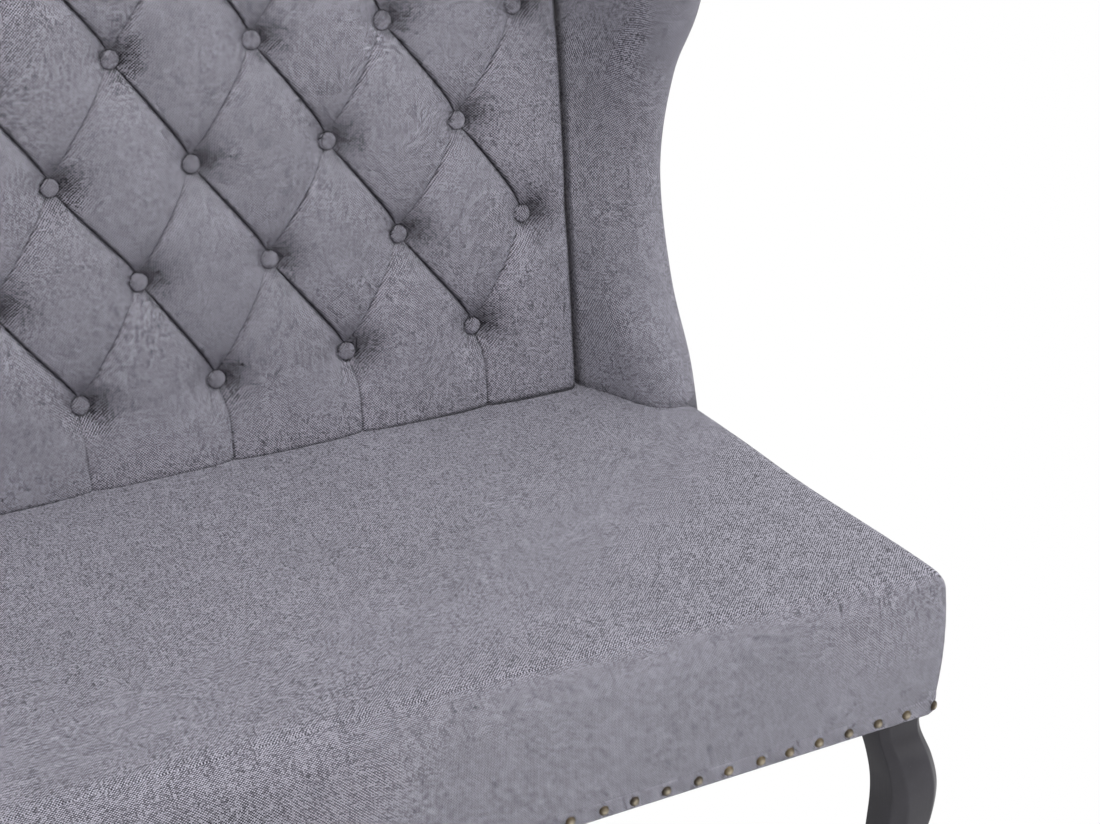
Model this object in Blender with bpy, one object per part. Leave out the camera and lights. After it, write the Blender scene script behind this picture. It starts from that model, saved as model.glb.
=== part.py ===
# Two-seater wing-back settee with a deep-buttoned inside back.
# Units are metres. +X is across the settee, +Y points to its back and +Z up.
# Every piece is modelled from the seat's front face and hangs on one empty,
# which puts the middle of the whole settee over the origin.

import math

import bmesh
import bpy
from mathutils import Vector

# Whole settee
WIDTH = 1.220             # across the two sides of the seat
HEIGHT = 1.130            # floor to the top of the back
LEG_HEIGHT = 0.340        # floor to the lower edge of the seat cover
FIT = 0.0003              # clearance between hard pieces that touch
SOFT_FIT = 0.0005         # clearance between padding and what it lies on
FABRIC = 0.003            # cover with the thin wadding sewn to it

# Seat
SEAT_HEIGHT = 0.165       # lower edge of the cover to the crown of the seat
SEAT_FALL_X = 0.006       # how much lower the seat is at its sides
SEAT_FALL_Y = 0.008       # how much lower it is at its back
SEAT_ROLL = 0.042         # radius of the front and side edges
SEAT_CORNER_ROLL = 0.020  # the same at the front corners, which are pulled tighter
SEAT_ROLL_RUN = 0.300     # over which the one radius becomes the other
SEAT_BACK_ROLL = 0.010    # radius of the hidden back edge
SEAT_CORNER = 0.017       # radius of the upright corners
RAIL = 0.025              # thickness of the beech rails
SEAT_RAIL_HEIGHT = 0.085
RAIL_LIFT = 0.002         # underside of the rails above the cover's lower edge
BRACE_WIDTH = 0.032
BRACE_HEIGHT = 0.055
BLOCK_REACH = 0.092       # corner block along each rail
BLOCK_TIP = 0.026         # width of the block where it dies into a rail
BLOCK_HEIGHT = 0.045
WEB_WIDTH = 0.055
WEB = 0.0016              # thickness of the jute webbing
SEAT_WEBS_ALONG = 4
SEAT_WEBS_ACROSS = 2
DUST_COVER = 0.0014

# Nail trim
BAND_HEIGHT = 0.018
BAND = 0.0012
NAIL_RADIUS = 0.0049
NAIL_HEIGHT = 0.0030
NAIL_PITCH = 0.0344
NAIL_RISE = 0.009         # nail centres above the cover's lower edge
NAIL_SIDES = 6

# Legs
LEG_TOP = 0.050           # side of the square top of a leg
LEG_INSET_X = 0.0075      # leg top in from the seat's side
LEG_INSET_Y = 0.014       # leg top in from the seat's front or back face
KNEE_PROUD = 0.009        # how far a front knee stands in front of the seat
KNEE_HALF = 0.028         # half the width of a front knee
REAR_HEEL = 0.722         # seat's front face to the heel of a rear leg
REAR_SWEEP = 1.7          # how late a rear leg sweeps back
GLIDE_HEIGHT = 0.005
GLIDE_RADIUS = 0.012
GLIDE_PIN_RADIUS = 0.0017
GLIDE_PIN_LENGTH = 0.012
STUD_RADIUS = 0.004
STUD_IN_LEG = 0.040
STUD_OFFSET = 0.0075      # stud in from the middle of the leg, clear of the side rail
NUT_RADIUS = 0.0073
NUT_HEIGHT = 0.0065
BORE_PLAY = 0.0004        # hole radius over the radius of its stud, bolt or pin

# Back, measured on its crown plane, the plane that the crowns of the tufts touch
SEAT_DEPTH = 0.545        # seat's front face to the crown plane
SEAT_DEPTH_Z = 0.487      # height at which that depth is measured
BACK_TILT = math.radians(6.6)
BACK_PAD = 0.062          # crown plane to the front of the back frame
BACK_BEND_Z = 0.440       # below this the posts stand upright
BACK_GAP = 0.110          # side of the seat to the inside back, filled by the wing
POST_WIDTH = 0.040
TOP_RAIL_HEIGHT = 0.070
LOWER_RAIL_HEIGHT = 0.055
LOWER_RAIL_START = 0.020  # along the slope above the seat
BOTTOM_RAIL_HEIGHT = 0.070
CENTRE_POST_WIDTH = 0.040
BACK_WEBS = 4
OUTSIDE_BACK = 0.003      # stretched outside cover on its board
BOLT_RADIUS = 0.004
BOLT_HEAD_RADIUS = 0.0075
BOLT_HEAD_HEIGHT = 0.0055
BOLT_IN_BACK = 0.021
BOLT_SHARES = (0.33, 0.827)  # places across, as shares of the way out to a post

# Buttoning
TUFT_PITCH = 0.150        # between two buttons of one row
ROW_PITCH = 0.117         # between two rows, along the slope
FIRST_ROW_Z = 0.587
TUFT_DEPTH = 0.028        # crown plane to the buttons
TUFT_MARGIN = 0.045       # least space from the last button to the wing
FOLD_RISE = 0.55          # how far a fold climbs between two buttons
PLEAT_FADE = 0.7          # how much of a pleat is gone where it reaches the seat
PLEAT_LENGTH = 0.094      # over which it fades, below the first row
TOP_FADE = 0.090          # past the start of the roll, where the top pleats end
COVER_AT_BUTTON = 0.004
PIT_ROOM = 0.014          # how much deeper the cover's back lies beside the wings
SIDE_RETURN = 0.030       # how deep the inside cover turns in beside the wing
BUTTON_RADIUS = 0.0095
BUTTON_HEIGHT = 0.007
BUTTON_SIDES = 6
FINE = 3                  # grid steps from a button to the next row or half pitch
ROLL_STEPS = 3            # grid steps over the top roll

# Wings
WING_INSET = 0.004        # wing's outer face in from the side of the seat
WING_ROLL = 0.035         # radius of the padded front and top edge
MEETING_DEPTH = 0.007     # depth under the crown plane where the wing meets the back
SPLAY_POWER = 1.5         # how late the wing's inner face splays towards the back
WING_PAD_INSET = 0.0045   # padding under the face of the wing's cover
WING_BOARD = 0.018
WING_SEAM = 0.010         # cover laps this far past the roll on the outer side
# The wing's edge from the seat upwards: share of the height over the seat, and
# how far it stands in front of the crown plane.
WING_EDGE = (
    (-0.10, 0.112), (0.08, 0.091), (0.22, 0.053), (0.40, 0.038), (0.57, 0.073),
    (0.70, 0.130), (0.86, 0.171), (0.955, 0.150), (1.0, 0.060),
)
WING_NOSE_TOP = 0.86      # share above which the edge turns over to the top
WING_STEPS = 2            # stations from one of these points to the next

# Values that follow from the ones above
HALF = WIDTH / 2
FRAME_Z = LEG_HEIGHT + RAIL_LIFT
RAIL_TOP_Z = FRAME_Z + SEAT_RAIL_HEIGHT
SKIN = FABRIC + FIT
TAN = math.tan(BACK_TILT)
SIN = math.sin(BACK_TILT)
COS = math.cos(BACK_TILT)
BACK_THICK = BACK_PAD + RAIL + FIT + OUTSIDE_BACK
ROLL = BACK_THICK / 2
POST_FRONT_Y = SEAT_DEPTH + (BACK_BEND_Z - SEAT_DEPTH_Z) * TAN + BACK_PAD / COS
SEAT_LENGTH = POST_FRONT_Y - FIT
ROLL_S = (HEIGHT - ROLL + ROLL * SIN - SEAT_DEPTH_Z) / COS
FRAME_TOP_S = ROLL_S - SOFT_FIT
FIRST_ROW_S = (FIRST_ROW_Z - SEAT_DEPTH_Z) / COS
ROLL_V = ROLL_S - FIRST_ROW_S
HALF_PITCH = TUFT_PITCH / 2
INSIDE_HALF = HALF - BACK_GAP
LAST_COLUMN = int((INSIDE_HALF - TUFT_MARGIN) / HALF_PITCH)
LAST_ROW = int((ROLL_V - TUFT_MARGIN / 2) / ROW_PITCH)
WING_OUT = HALF - WING_INSET
BOARD_OUT = WING_OUT - FABRIC - FIT
BOARD_IN = BOARD_OUT - WING_BOARD
POST_OUT = BOARD_IN - FIT
POST_IN = POST_OUT - POST_WIDTH
LEG_X = HALF - LEG_INSET_X - LEG_TOP / 2
STUD_X = LEG_X - STUD_OFFSET
FRONT_LEG_Y = LEG_INSET_Y + LEG_TOP / 2
REAR_LEG_Y = SEAT_LENGTH - LEG_INSET_Y - LEG_TOP / 2
SEAT_MIDDLE_Y = SEAT_LENGTH / 2
WEAVE_LIFT = (WEB + SOFT_FIT) / 2 + FIT
WING_IN = INSIDE_HALF + 2 * SOFT_FIT
WING_SPLAY = WING_OUT - 2 * WING_ROLL - WING_IN
PAD_INSET = FABRIC + SOFT_FIT
# The foremost point is a knee and the rearmost a heel.
FRONT_Y = (KNEE_PROUD - REAR_HEEL) / 2


def make_material(name, colour, roughness, metallic=0.0):
    material = bpy.data.materials.new(name)
    material.use_nodes = True
    shader = material.node_tree.nodes["Principled BSDF"]
    shader.inputs["Base Color"].default_value = (*colour, 1.0)
    shader.inputs["Roughness"].default_value = roughness
    shader.inputs["Metallic"].default_value = metallic
    material.diffuse_color = (*colour, 1.0)
    return material


def start():
    for obj in list(bpy.data.objects):
        bpy.data.objects.remove(obj)
    root = bpy.data.objects.new("settee_origin", None)
    root.location = (0.0, FRONT_Y, 0.0)
    bpy.context.collection.objects.link(root)
    return root


ROOT = start()
CLOTH = make_material("blue_grey_cloth", (0.19, 0.24, 0.31), 0.9)
CLOTH_BACK = make_material("outside_cloth", (0.18, 0.23, 0.30), 0.9)
BLACK_WOOD = make_material("black_lacquered_wood", (0.012, 0.012, 0.014), 0.32)
BEECH = make_material("beech", (0.55, 0.37, 0.20), 0.6)
JUTE = make_material("jute_webbing", (0.48, 0.36, 0.20), 0.9)
FOAM = make_material("foam", (0.80, 0.74, 0.55), 0.95)
BRASS = make_material("antique_brass", (0.30, 0.21, 0.11), 0.42, 1.0)
STEEL = make_material("zinc_steel", (0.55, 0.56, 0.58), 0.35, 1.0)
PLASTIC = make_material("black_nylon", (0.02, 0.02, 0.02), 0.5)
BLACK_CLOTH = make_material("black_cambric", (0.02, 0.02, 0.022), 0.95)


def place(mesh_data, name, material, smooth=None):
    """Makes one object of a mesh under the settee's empty."""
    mesh = bpy.data.meshes.new(name)
    mesh_data.to_mesh(mesh)
    mesh_data.free()
    mesh.materials.append(material)
    if smooth is not None:
        mesh.shade_smooth()
        mesh.set_sharp_from_angle(angle=math.radians(smooth))
    obj = bpy.data.objects.new(name, mesh)
    obj.parent = ROOT
    bpy.context.collection.objects.link(obj)
    return obj


def as_guide(obj):
    obj.hide_render = True
    obj.display_type = "WIRE"
    return obj


def boolean(obj, tool, operation="DIFFERENCE"):
    modifier = obj.modifiers.new(operation.lower() + "_" + tool.name, "BOOLEAN")
    modifier.operation = operation
    modifier.object = tool
    modifier.solver = "EXACT"


def solidify(obj, thickness):
    modifier = obj.modifiers.new("cloth", "SOLIDIFY")
    modifier.thickness = thickness
    modifier.offset = -1.0


def bevel(obj, width, segments=1):
    modifier = obj.modifiers.new("eased_edges", "BEVEL")
    modifier.width = width
    modifier.segments = segments
    modifier.limit_method = "ANGLE"
    modifier.angle_limit = math.radians(40)


def loft(rings, caps=True):
    """Joins closed rings of equally many points, first to last."""
    bm = bmesh.new()
    verts = [[bm.verts.new(point) for point in ring] for ring in rings]
    count = len(rings[0])
    for low, high in zip(verts, verts[1:]):
        for i in range(count):
            j = (i + 1) % count
            bm.faces.new((low[i], low[j], high[j], high[i]))
    if caps:
        bm.faces.new(reversed(verts[0]))
        bm.faces.new(verts[-1])
        bmesh.ops.recalc_face_normals(bm, faces=bm.faces)
    return bm


def prism(outline, axis, low, high):
    """Extrudes a flat outline along X, Y or Z. The outline has the other two
    coordinates in their order X, Y, Z."""
    def point(pair, level):
        values = list(pair)
        values.insert("XYZ".index(axis), level)
        return Vector(values)
    return loft([[point(pair, level) for pair in outline] for level in (low, high)])


def box(x, y, z):
    outline = [(x[0], y[0]), (x[1], y[0]), (x[1], y[1]), (x[0], y[1])]
    return prism(outline, "Z", z[0], z[1])


def circle(centre, radius, z, sides):
    step = math.tau / sides
    return [
        Vector((centre[0] + radius * math.cos(i * step),
                centre[1] + radius * math.sin(i * step), z))
        for i in range(sides)
    ]


def turned(centre, profile, sides=12):
    """A body turned about an upright axis; the profile is (radius, z) pairs."""
    return loft([circle(centre, radius, z, sides) for radius, z in profile])


def smoothstep(value):
    value = min(1.0, max(0.0, value))
    return value * value * (3 - 2 * value)


# The seat's upholstered shape

def rounded_rectangle(low, high, radius, steps_x, steps_y, steps_corner=3):
    """Points of a rectangle with round corners, anticlockwise from its front."""
    points = []
    corners = (
        (high[0] - radius, low[1] + radius, -90.0),
        (high[0] - radius, high[1] - radius, 0.0),
        (low[0] + radius, high[1] - radius, 90.0),
        (low[0] + radius, low[1] + radius, 180.0),
    )
    for number, (x, y, start_angle) in enumerate(corners):
        arc = []
        for i in range(steps_corner + 1):
            angle = math.radians(start_angle + 90.0 * i / steps_corner)
            arc.append((x + radius * math.cos(angle), y + radius * math.sin(angle)))
        points.extend(arc)
        following = corners[(number + 1) % 4]
        angle = math.radians(following[2])
        end = (following[0] + radius * math.cos(angle),
               following[1] + radius * math.sin(angle))
        steps = steps_y if number % 2 == 0 else steps_x
        for i in range(1, steps):
            share = i / steps
            points.append((arc[-1][0] + (end[0] - arc[-1][0]) * share,
                           arc[-1][1] + (end[1] - arc[-1][1]) * share))
    return points


def seat_top(x, y):
    """Height of the seat's crown surface, before its edges roll over."""
    across = (x / HALF) ** 2
    along = (max(0.0, y - SEAT_MIDDLE_Y) / SEAT_MIDDLE_Y) ** 2
    return LEG_HEIGHT + SEAT_HEIGHT - SEAT_FALL_X * across - SEAT_FALL_Y * along


def edge_roll(from_corner):
    """Radius of the seat's edge at a distance from its front corner."""
    grown = smoothstep(from_corner / SEAT_ROLL_RUN)
    return SEAT_CORNER_ROLL + (SEAT_ROLL - SEAT_CORNER_ROLL) * grown


def seat_ring(over, drop, flat, grow, steps_x=8, steps_y=4):
    """One ring of the seat's skin. over and drop say how far it has come over the
    roll, inwards and down, as shares of its radius; flat is its inset past that."""
    base = SEAT_CORNER_ROLL * over + flat
    low = (-HALF - grow + base, -grow + base)
    high = (HALF + grow - base, SEAT_LENGTH + grow - SEAT_BACK_ROLL * over - flat)
    corner = SEAT_CORNER + grow + 0.25 * base
    ring = []
    for x, y in rounded_rectangle(low, high, corner, steps_x, steps_y):
        at_front = edge_roll(HALF - abs(x))
        at_side = edge_roll(y)
        radius = max(at_front, at_side)
        to_back = smoothstep((y - SEAT_LENGTH + 2 * SEAT_ROLL) / SEAT_ROLL)
        radius += (SEAT_BACK_ROLL - radius) * to_back
        in_x = 1 - (at_side - SEAT_CORNER_ROLL) * over / HALF
        in_y = (at_front - SEAT_CORNER_ROLL) * over * (1 - y / SEAT_LENGTH)
        x *= in_x
        y += in_y
        ring.append(Vector((x, y, seat_top(x, y) + grow - radius * drop)))
    return ring


def seat_skin(grow, floor_z):
    """Rings of the seat's outer shape, grown outwards by grow."""
    lowest = [Vector((p.x, p.y, floor_z)) for p in seat_ring(0.0, 1.0, 0.0, grow)]
    rings = [lowest]
    for angle in (0.0, 25.0, 50.0, 70.0, 90.0):
        turn = math.radians(angle)
        rings.append(seat_ring(1 - math.cos(turn), 1 - math.sin(turn), 0.0, grow))
    for flat in (0.070, 0.150):
        rings.append(seat_ring(1.0, 0.0, flat, grow))
    return rings


def seat_mesh(grow, floor_z, closed):
    """The seat's skin, split into triangles the same way at every growth, so that
    what is scribed to a grown seat clears the seat everywhere."""
    bm = loft(seat_skin(grow, floor_z), caps=False)
    bmesh.ops.triangulate(bm, faces=bm.faces, quad_method="FIXED")
    loops = [e for e in bm.edges if e.is_boundary]
    upper = [e for e in loops if e.verts[0].co.z > floor_z + SEAT_ROLL]
    lower = [e for e in loops if e not in upper]
    top = bmesh.ops.contextual_create(bm, geom=upper)["faces"]
    centre = bmesh.ops.poke(bm, faces=top)["verts"][0]
    centre.co.z = seat_top(centre.co.x, centre.co.y) + grow
    if closed:
        bmesh.ops.contextual_create(bm, geom=lower)
    bmesh.ops.recalc_face_normals(bm, faces=bm.faces)
    bm.normal_update()
    if centre.normal.z < 0:
        bmesh.ops.reverse_faces(bm, faces=bm.faces)
    return bm


def seat_guide():
    """What the wings and the back are scribed to: the seat with its clearance."""
    return as_guide(place(seat_mesh(SOFT_FIT, LEG_HEIGHT - RAIL, True), "seat_guide", CLOTH))


# Seat frame

def seat_frame():
    inner_x = HALF - SKIN - RAIL
    front_y = (SKIN, SKIN + RAIL)
    back_y = (SEAT_LENGTH - SKIN - RAIL, SEAT_LENGTH - SKIN)
    height = (FRAME_Z, RAIL_TOP_Z)
    span = (-inner_x + FIT, inner_x - FIT)
    front = place(box(span, front_y, height), "seat_front_rail", BEECH)
    back = place(box(span, back_y, height), "seat_back_rail", BEECH)
    bevel(front, 0.002)
    bevel(back, 0.002)
    for side, name in ((1, "right"), (-1, "left")):
        outline = side_rail_outline(side, inner_x)
        place(prism(outline, "Z", *height), "seat_side_rail_" + name, BEECH)
    brace_x = (-BRACE_WIDTH / 2, BRACE_WIDTH / 2)
    brace_y = (front_y[1] + FIT, back_y[0] - FIT)
    brace = place(box(brace_x, brace_y, (FRAME_Z, FRAME_Z + BRACE_HEIGHT)),
                  "seat_centre_brace", BEECH)
    bevel(brace, 0.002)
    return back


def side_rail_outline(side, inner_x):
    """Plan of a side rail, whose outer corners are round under the cover."""
    radius = SEAT_CORNER - SKIN
    outer_x = HALF - SKIN
    low_y = SKIN
    high_y = SEAT_LENGTH - SKIN
    points = [(inner_x, high_y), (inner_x, low_y)]
    for centre_y, first in ((low_y + radius, -90.0), (high_y - radius, 0.0)):
        for i in range(4):
            angle = math.radians(first + 30.0 * i)
            points.append((outer_x - radius + radius * math.cos(angle),
                           centre_y + radius * math.sin(angle)))
    return [(side * x, y) for x, y in points]


def corner_blocks():
    """Glued blocks in the corners of the seat frame, bored for the legs' studs."""
    x0 = HALF - SKIN - RAIL - FIT
    ends = (
        ("front", SKIN + RAIL + FIT, 1, FRONT_LEG_Y),
        ("rear", SEAT_LENGTH - SKIN - RAIL - FIT, -1, REAR_LEG_Y),
    )
    height = (FRAME_Z, FRAME_Z + BLOCK_HEIGHT)
    for end, y0, into, stud_y in ends:
        for side, hand in ((1, "right"), (-1, "left")):
            outline = [
                (x0, y0), (x0, y0 + into * BLOCK_REACH),
                (x0 - BLOCK_TIP, y0 + into * BLOCK_REACH),
                (x0 - BLOCK_REACH, y0 + into * BLOCK_TIP), (x0 - BLOCK_REACH, y0),
            ]
            outline = [(side * x, y) for x, y in outline]
            block = place(prism(outline, "Z", *height), f"corner_block_{end}_{hand}", BEECH)
            bore(block, "stud_hole", (side * STUD_X, stud_y), STUD_RADIUS + BORE_PLAY,
                 (height[0] - RAIL, height[1] + RAIL))


def bore(obj, label, centre, radius, height, sides=12):
    """Bores an upright round hole."""
    profile = ((radius, height[0]), (radius, height[1]))
    bm = turned(centre, profile, sides)
    boolean(obj, as_guide(place(bm, f"{label}_{obj.name}", STEEL)))


# Webbing

def strap_heights(crossings, over):
    """Height of a woven strap at chosen places along it."""
    rest = RAIL_TOP_Z + FIT + WEB / 2
    line = []
    for crossing, is_over in zip(crossings, over):
        level = rest + (2 * WEAVE_LIFT if is_over else 0.0)
        for offset in (-0.62, -0.5, 0.5, 0.62):
            z = level if abs(offset) <= 0.5 else rest + WEAVE_LIFT
            line.append((crossing + offset * WEB_WIDTH, z))
    return rest, line


def strap_outline(ends, crossings, over):
    rest, line = strap_heights(crossings, over)
    middle = [(ends[0], rest), (ends[0] + RAIL, rest), *line, (ends[1] - RAIL, rest),
              (ends[1], rest)]
    upper = [(s, z + WEB / 2) for s, z in middle]
    lower = [(s, z - WEB / 2) for s, z in reversed(middle)]
    return upper + lower


def even_places(count, low, high):
    step = (high - low) / count
    return [low + step * (i + 0.5) for i in range(count)]


def seat_webbing():
    reach_x = HALF - SKIN - 0.002
    along_x = even_places(SEAT_WEBS_ALONG, -reach_x, reach_x)
    across_y = even_places(SEAT_WEBS_ACROSS, RAIL, SEAT_LENGTH - RAIL)
    for i, x in enumerate(along_x):
        over = [(i + j) % 2 == 0 for j in range(SEAT_WEBS_ACROSS)]
        ends = (SKIN + 0.002, SEAT_LENGTH - SKIN - 0.002)
        outline = strap_outline(ends, across_y, over)
        bm = prism(outline, "X", x - WEB_WIDTH / 2, x + WEB_WIDTH / 2)
        place(bm, f"seat_webbing_along_{i + 1}", JUTE)
    for j, y in enumerate(across_y):
        over = [(i + j) % 2 == 1 for i in range(SEAT_WEBS_ALONG)]
        outline = strap_outline((-reach_x, reach_x), along_x, over)
        bm = prism(outline, "Y", y - WEB_WIDTH / 2, y + WEB_WIDTH / 2)
        place(bm, f"seat_webbing_across_{j + 1}", JUTE)


# Seat upholstery

def seat_upholstery(bolt_tools):
    foam_z = RAIL_TOP_Z + FIT + 2 * WEAVE_LIFT + WEB + SOFT_FIT
    place(seat_mesh(-SKIN, foam_z, True), "seat_foam", FOAM, 40)
    cover = place(seat_mesh(0.0, LEG_HEIGHT, False), "seat_cover", CLOTH, 40)
    solidify(cover, FABRIC)
    for tool in bolt_tools:
        boolean(cover, tool)


def dust_cover():
    """Black cloth under the frame, cut out round the legs."""
    edge = SKIN + FIT
    x1 = HALF - edge
    notch_x = x1 - (LEG_INSET_X - edge) - LEG_TOP - 0.002
    y0 = edge
    y1 = SEAT_LENGTH - edge
    notch_front = LEG_INSET_Y + LEG_TOP + 0.002
    notch_back = SEAT_LENGTH - notch_front
    right = [(notch_x, y0), (notch_x, notch_front), (x1, notch_front), (x1, notch_back),
             (notch_x, notch_back), (notch_x, y1)]
    left = [(-x, y) for x, y in reversed(right)]
    low = LEG_HEIGHT + FIT
    place(prism(right + left, "Z", low, low + DUST_COVER), "dust_cover", BLACK_CLOTH)


def band_path(offset):
    """Plan line round the seat's right side, front and left side."""
    radius = SEAT_CORNER + offset
    x1 = HALF + offset
    back_y = SEAT_LENGTH - SEAT_CORNER
    points = [(x1, back_y)]
    for first, sign in ((0.0, 1), (-90.0, -1)):
        for i in range(5):
            angle = math.radians(first - 22.5 * i)
            points.append((sign * (x1 - radius) + radius * math.cos(angle),
                           -offset + radius + radius * math.sin(angle)))
    points.append((-x1, back_y))
    return points


def walk(points, distances):
    """Points at given distances along a line, with the line's outward normal."""
    found = []
    for wanted in distances:
        left = wanted
        for a, b in zip(points, points[1:]):
            step = Vector(b) - Vector(a)
            if left <= step.length:
                along = step.normalized()
                found.append((Vector(a) + along * left, Vector((-along.y, along.x))))
                break
            left -= step.length
    return found


def nail_trim():
    """A cloth band along the lower edge with a row of dome-headed nails."""
    outer = band_path(FIT + BAND)
    inner = band_path(FIT)
    bm = prism(outer + inner[::-1], "Z", LEG_HEIGHT, LEG_HEIGHT + BAND_HEIGHT)
    band = place(bm, "nail_band", BRASS)
    length = sum((Vector(b) - Vector(a)).length for a, b in zip(outer, outer[1:]))
    count = 2 * int((length - NAIL_PITCH) / (2 * NAIL_PITCH))
    first = (length - (count - 1) * NAIL_PITCH) / 2
    nails = bmesh.new()
    for at, outward in walk(outer, [first + i * NAIL_PITCH for i in range(count)]):
        add_nail(nails, at, outward)
    tool = as_guide(place(nails, "nail_heads", BRASS))
    boolean(band, tool, "UNION")


def add_nail(bm, at, outward):
    """A dome whose rim is sunk a little into the band."""
    across = Vector((-outward.y, outward.x, 0.0))
    out = Vector((outward.x, outward.y, 0.0))
    centre = Vector((at.x, at.y, LEG_HEIGHT + NAIL_RISE))
    levels = ((1.0, -0.25), (0.93, 0.30), (0.58, 0.80))
    rings = []
    for width, height in levels:
        ring = []
        for i in range(NAIL_SIDES):
            angle = math.tau * i / NAIL_SIDES
            flat = across * math.cos(angle) + Vector((0, 0, 1)) * math.sin(angle)
            point = centre + flat * NAIL_RADIUS * width + out * NAIL_HEIGHT * height
            ring.append(bm.verts.new(point))
        rings.append(ring)
    faces = [bm.faces.new(rings[0])]
    for low, high in zip(rings, rings[1:]):
        for i in range(NAIL_SIDES):
            j = (i + 1) % NAIL_SIDES
            faces.append(bm.faces.new((low[i], low[j], high[j], high[i])))
    crown = bm.verts.new(centre + out * NAIL_HEIGHT)
    for i in range(NAIL_SIDES):
        faces.append(bm.faces.new((rings[-1][i], rings[-1][(i + 1) % NAIL_SIDES], crown)))
    bmesh.ops.recalc_face_normals(bm, faces=faces)


# Legs

def leg_ring(centre, half_x, half_y, chamfer, z, outward, forward):
    """A square section with chamfers, wide at the show side and small behind."""
    show = chamfer
    plain = 0.45 * chamfer
    corners = (
        (1, 1, show), (-1, 1, show), (-1, -1, plain), (1, -1, plain),
    )
    points = []
    for sx, sy, cut in corners:
        along_x = (sx * (half_x - cut), sy * half_y)
        along_y = (sx * half_x, sy * (half_y - cut))
        pair = (along_y, along_x) if sx * sy > 0 else (along_x, along_y)
        points.extend(pair)
    return [Vector((centre[0] + outward * x, centre[1] - forward * y, z)) for x, y in points]


def make_leg(name, side, stations, forward, stud_at, glide_at):
    rings = []
    for z, dx, y, half_x, half_y, chamfer in spline([Vector(line) for line in stations], 2):
        centre = (side * (LEG_X + dx), y)
        rings.append(leg_ring(centre, half_x, half_y, chamfer, z, side, forward))
    leg = place(loft(rings), name, BLACK_WOOD, 28)
    bore(leg, "stud_hole", stud_at, STUD_RADIUS + BORE_PLAY,
         (FRAME_Z - STUD_IN_LEG - BORE_PLAY, FRAME_Z + RAIL))
    bore(leg, "pin_hole", glide_at, GLIDE_PIN_RADIUS + BORE_PLAY,
         (-RAIL, GLIDE_HEIGHT + GLIDE_PIN_LENGTH + BORE_PLAY), 8)


def front_leg_stations():
    """Cabriole line: knee forward and outward, slim ankle, small foot.
    Each has height, sideways shift, y, half width, half depth and chamfer."""
    top = FRAME_Z - FIT
    half = LEG_TOP / 2
    y0 = FRONT_LEG_Y
    knee_y = KNEE_HALF - KNEE_PROUD
    knee = KNEE_HALF
    foot = GLIDE_HEIGHT + FIT
    return (
        (top, 0.0, y0, half, half, 0.007),
        (0.92 * LEG_HEIGHT, 0.001, y0 - 0.002, half, half, 0.008),
        (0.84 * LEG_HEIGHT, 0.006, knee_y + 0.005, half + 0.002, half + 0.002, 0.010),
        (0.76 * LEG_HEIGHT, 0.011, knee_y, knee, knee, 0.0115),
        (0.68 * LEG_HEIGHT, 0.013, knee_y, knee, knee, 0.0125),
        (0.59 * LEG_HEIGHT, 0.012, knee_y + 0.003, knee - 0.001, knee - 0.001, 0.0130),
        (0.48 * LEG_HEIGHT, 0.007, knee_y + 0.009, half - 0.002, half - 0.002, 0.0125),
        (0.36 * LEG_HEIGHT, 0.001, knee_y + 0.015, half - 0.007, half - 0.007, 0.011),
        (0.24 * LEG_HEIGHT, -0.003, knee_y + 0.018, half - 0.011, half - 0.011, 0.009),
        (0.13 * LEG_HEIGHT, -0.002, knee_y + 0.015, half - 0.0115, half - 0.0115, 0.008),
        (0.06 * LEG_HEIGHT, 0.001, knee_y + 0.009, half - 0.0085, half - 0.0085, 0.008),
        (foot, 0.002, knee_y + 0.006, half - 0.009, half - 0.009, 0.006),
    )


def rear_leg_stations():
    """Sabre line: straight below the seat, then swept back to the heel."""
    top = FRAME_Z - FIT
    half = LEG_TOP / 2
    foot = GLIDE_HEIGHT + FIT
    end_half = 0.016
    end_y = REAR_HEEL - end_half
    stations = []
    for share in (0.0, 0.14, 0.28, 0.42, 0.56, 0.70, 0.84, 0.93, 1.0):
        z = top + (foot - top) * share
        sweep = share ** REAR_SWEEP
        width = half + (end_half - half) * smoothstep(share)
        y = REAR_LEG_Y + (end_y - REAR_LEG_Y) * sweep
        stations.append((z, 0.004 * share, y, width, width, 0.005 + 0.001 * share))
    return tuple(stations)


def legs():
    fronts = front_leg_stations()
    rears = rear_leg_stations()
    kinds = (
        ("front", fronts, 1, FRONT_LEG_Y),
        ("rear", rears, -1, REAR_LEG_Y),
    )
    for kind, stations, forward, stud_y in kinds:
        for side, hand in ((1, "right"), (-1, "left")):
            tail = f"{kind}_{hand}"
            stud_at = (side * STUD_X, stud_y)
            glide_at = (side * (LEG_X + stations[-1][1]), stations[-1][2])
            make_leg("leg_" + tail, side, stations, forward, stud_at, glide_at)
            hanger_bolt("hanger_bolt_" + tail, stud_at)
            glide("glide_" + tail, glide_at)


def hanger_bolt(name, at):
    """A stud in the leg with its flanged nut on top of the corner block."""
    top = FRAME_Z + BLOCK_HEIGHT + FIT
    profile = (
        (STUD_RADIUS * 0.7, FRAME_Z - STUD_IN_LEG), (STUD_RADIUS, FRAME_Z - STUD_IN_LEG + 0.003),
        (STUD_RADIUS, top), (NUT_RADIUS + 0.001, top), (NUT_RADIUS + 0.001, top + 0.001),
        (NUT_RADIUS, top + 0.001), (NUT_RADIUS, top + NUT_HEIGHT), (STUD_RADIUS, top + NUT_HEIGHT),
        (STUD_RADIUS, top + NUT_HEIGHT + 0.003),
    )
    place(turned(at, profile), name, STEEL, 30)


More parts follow.
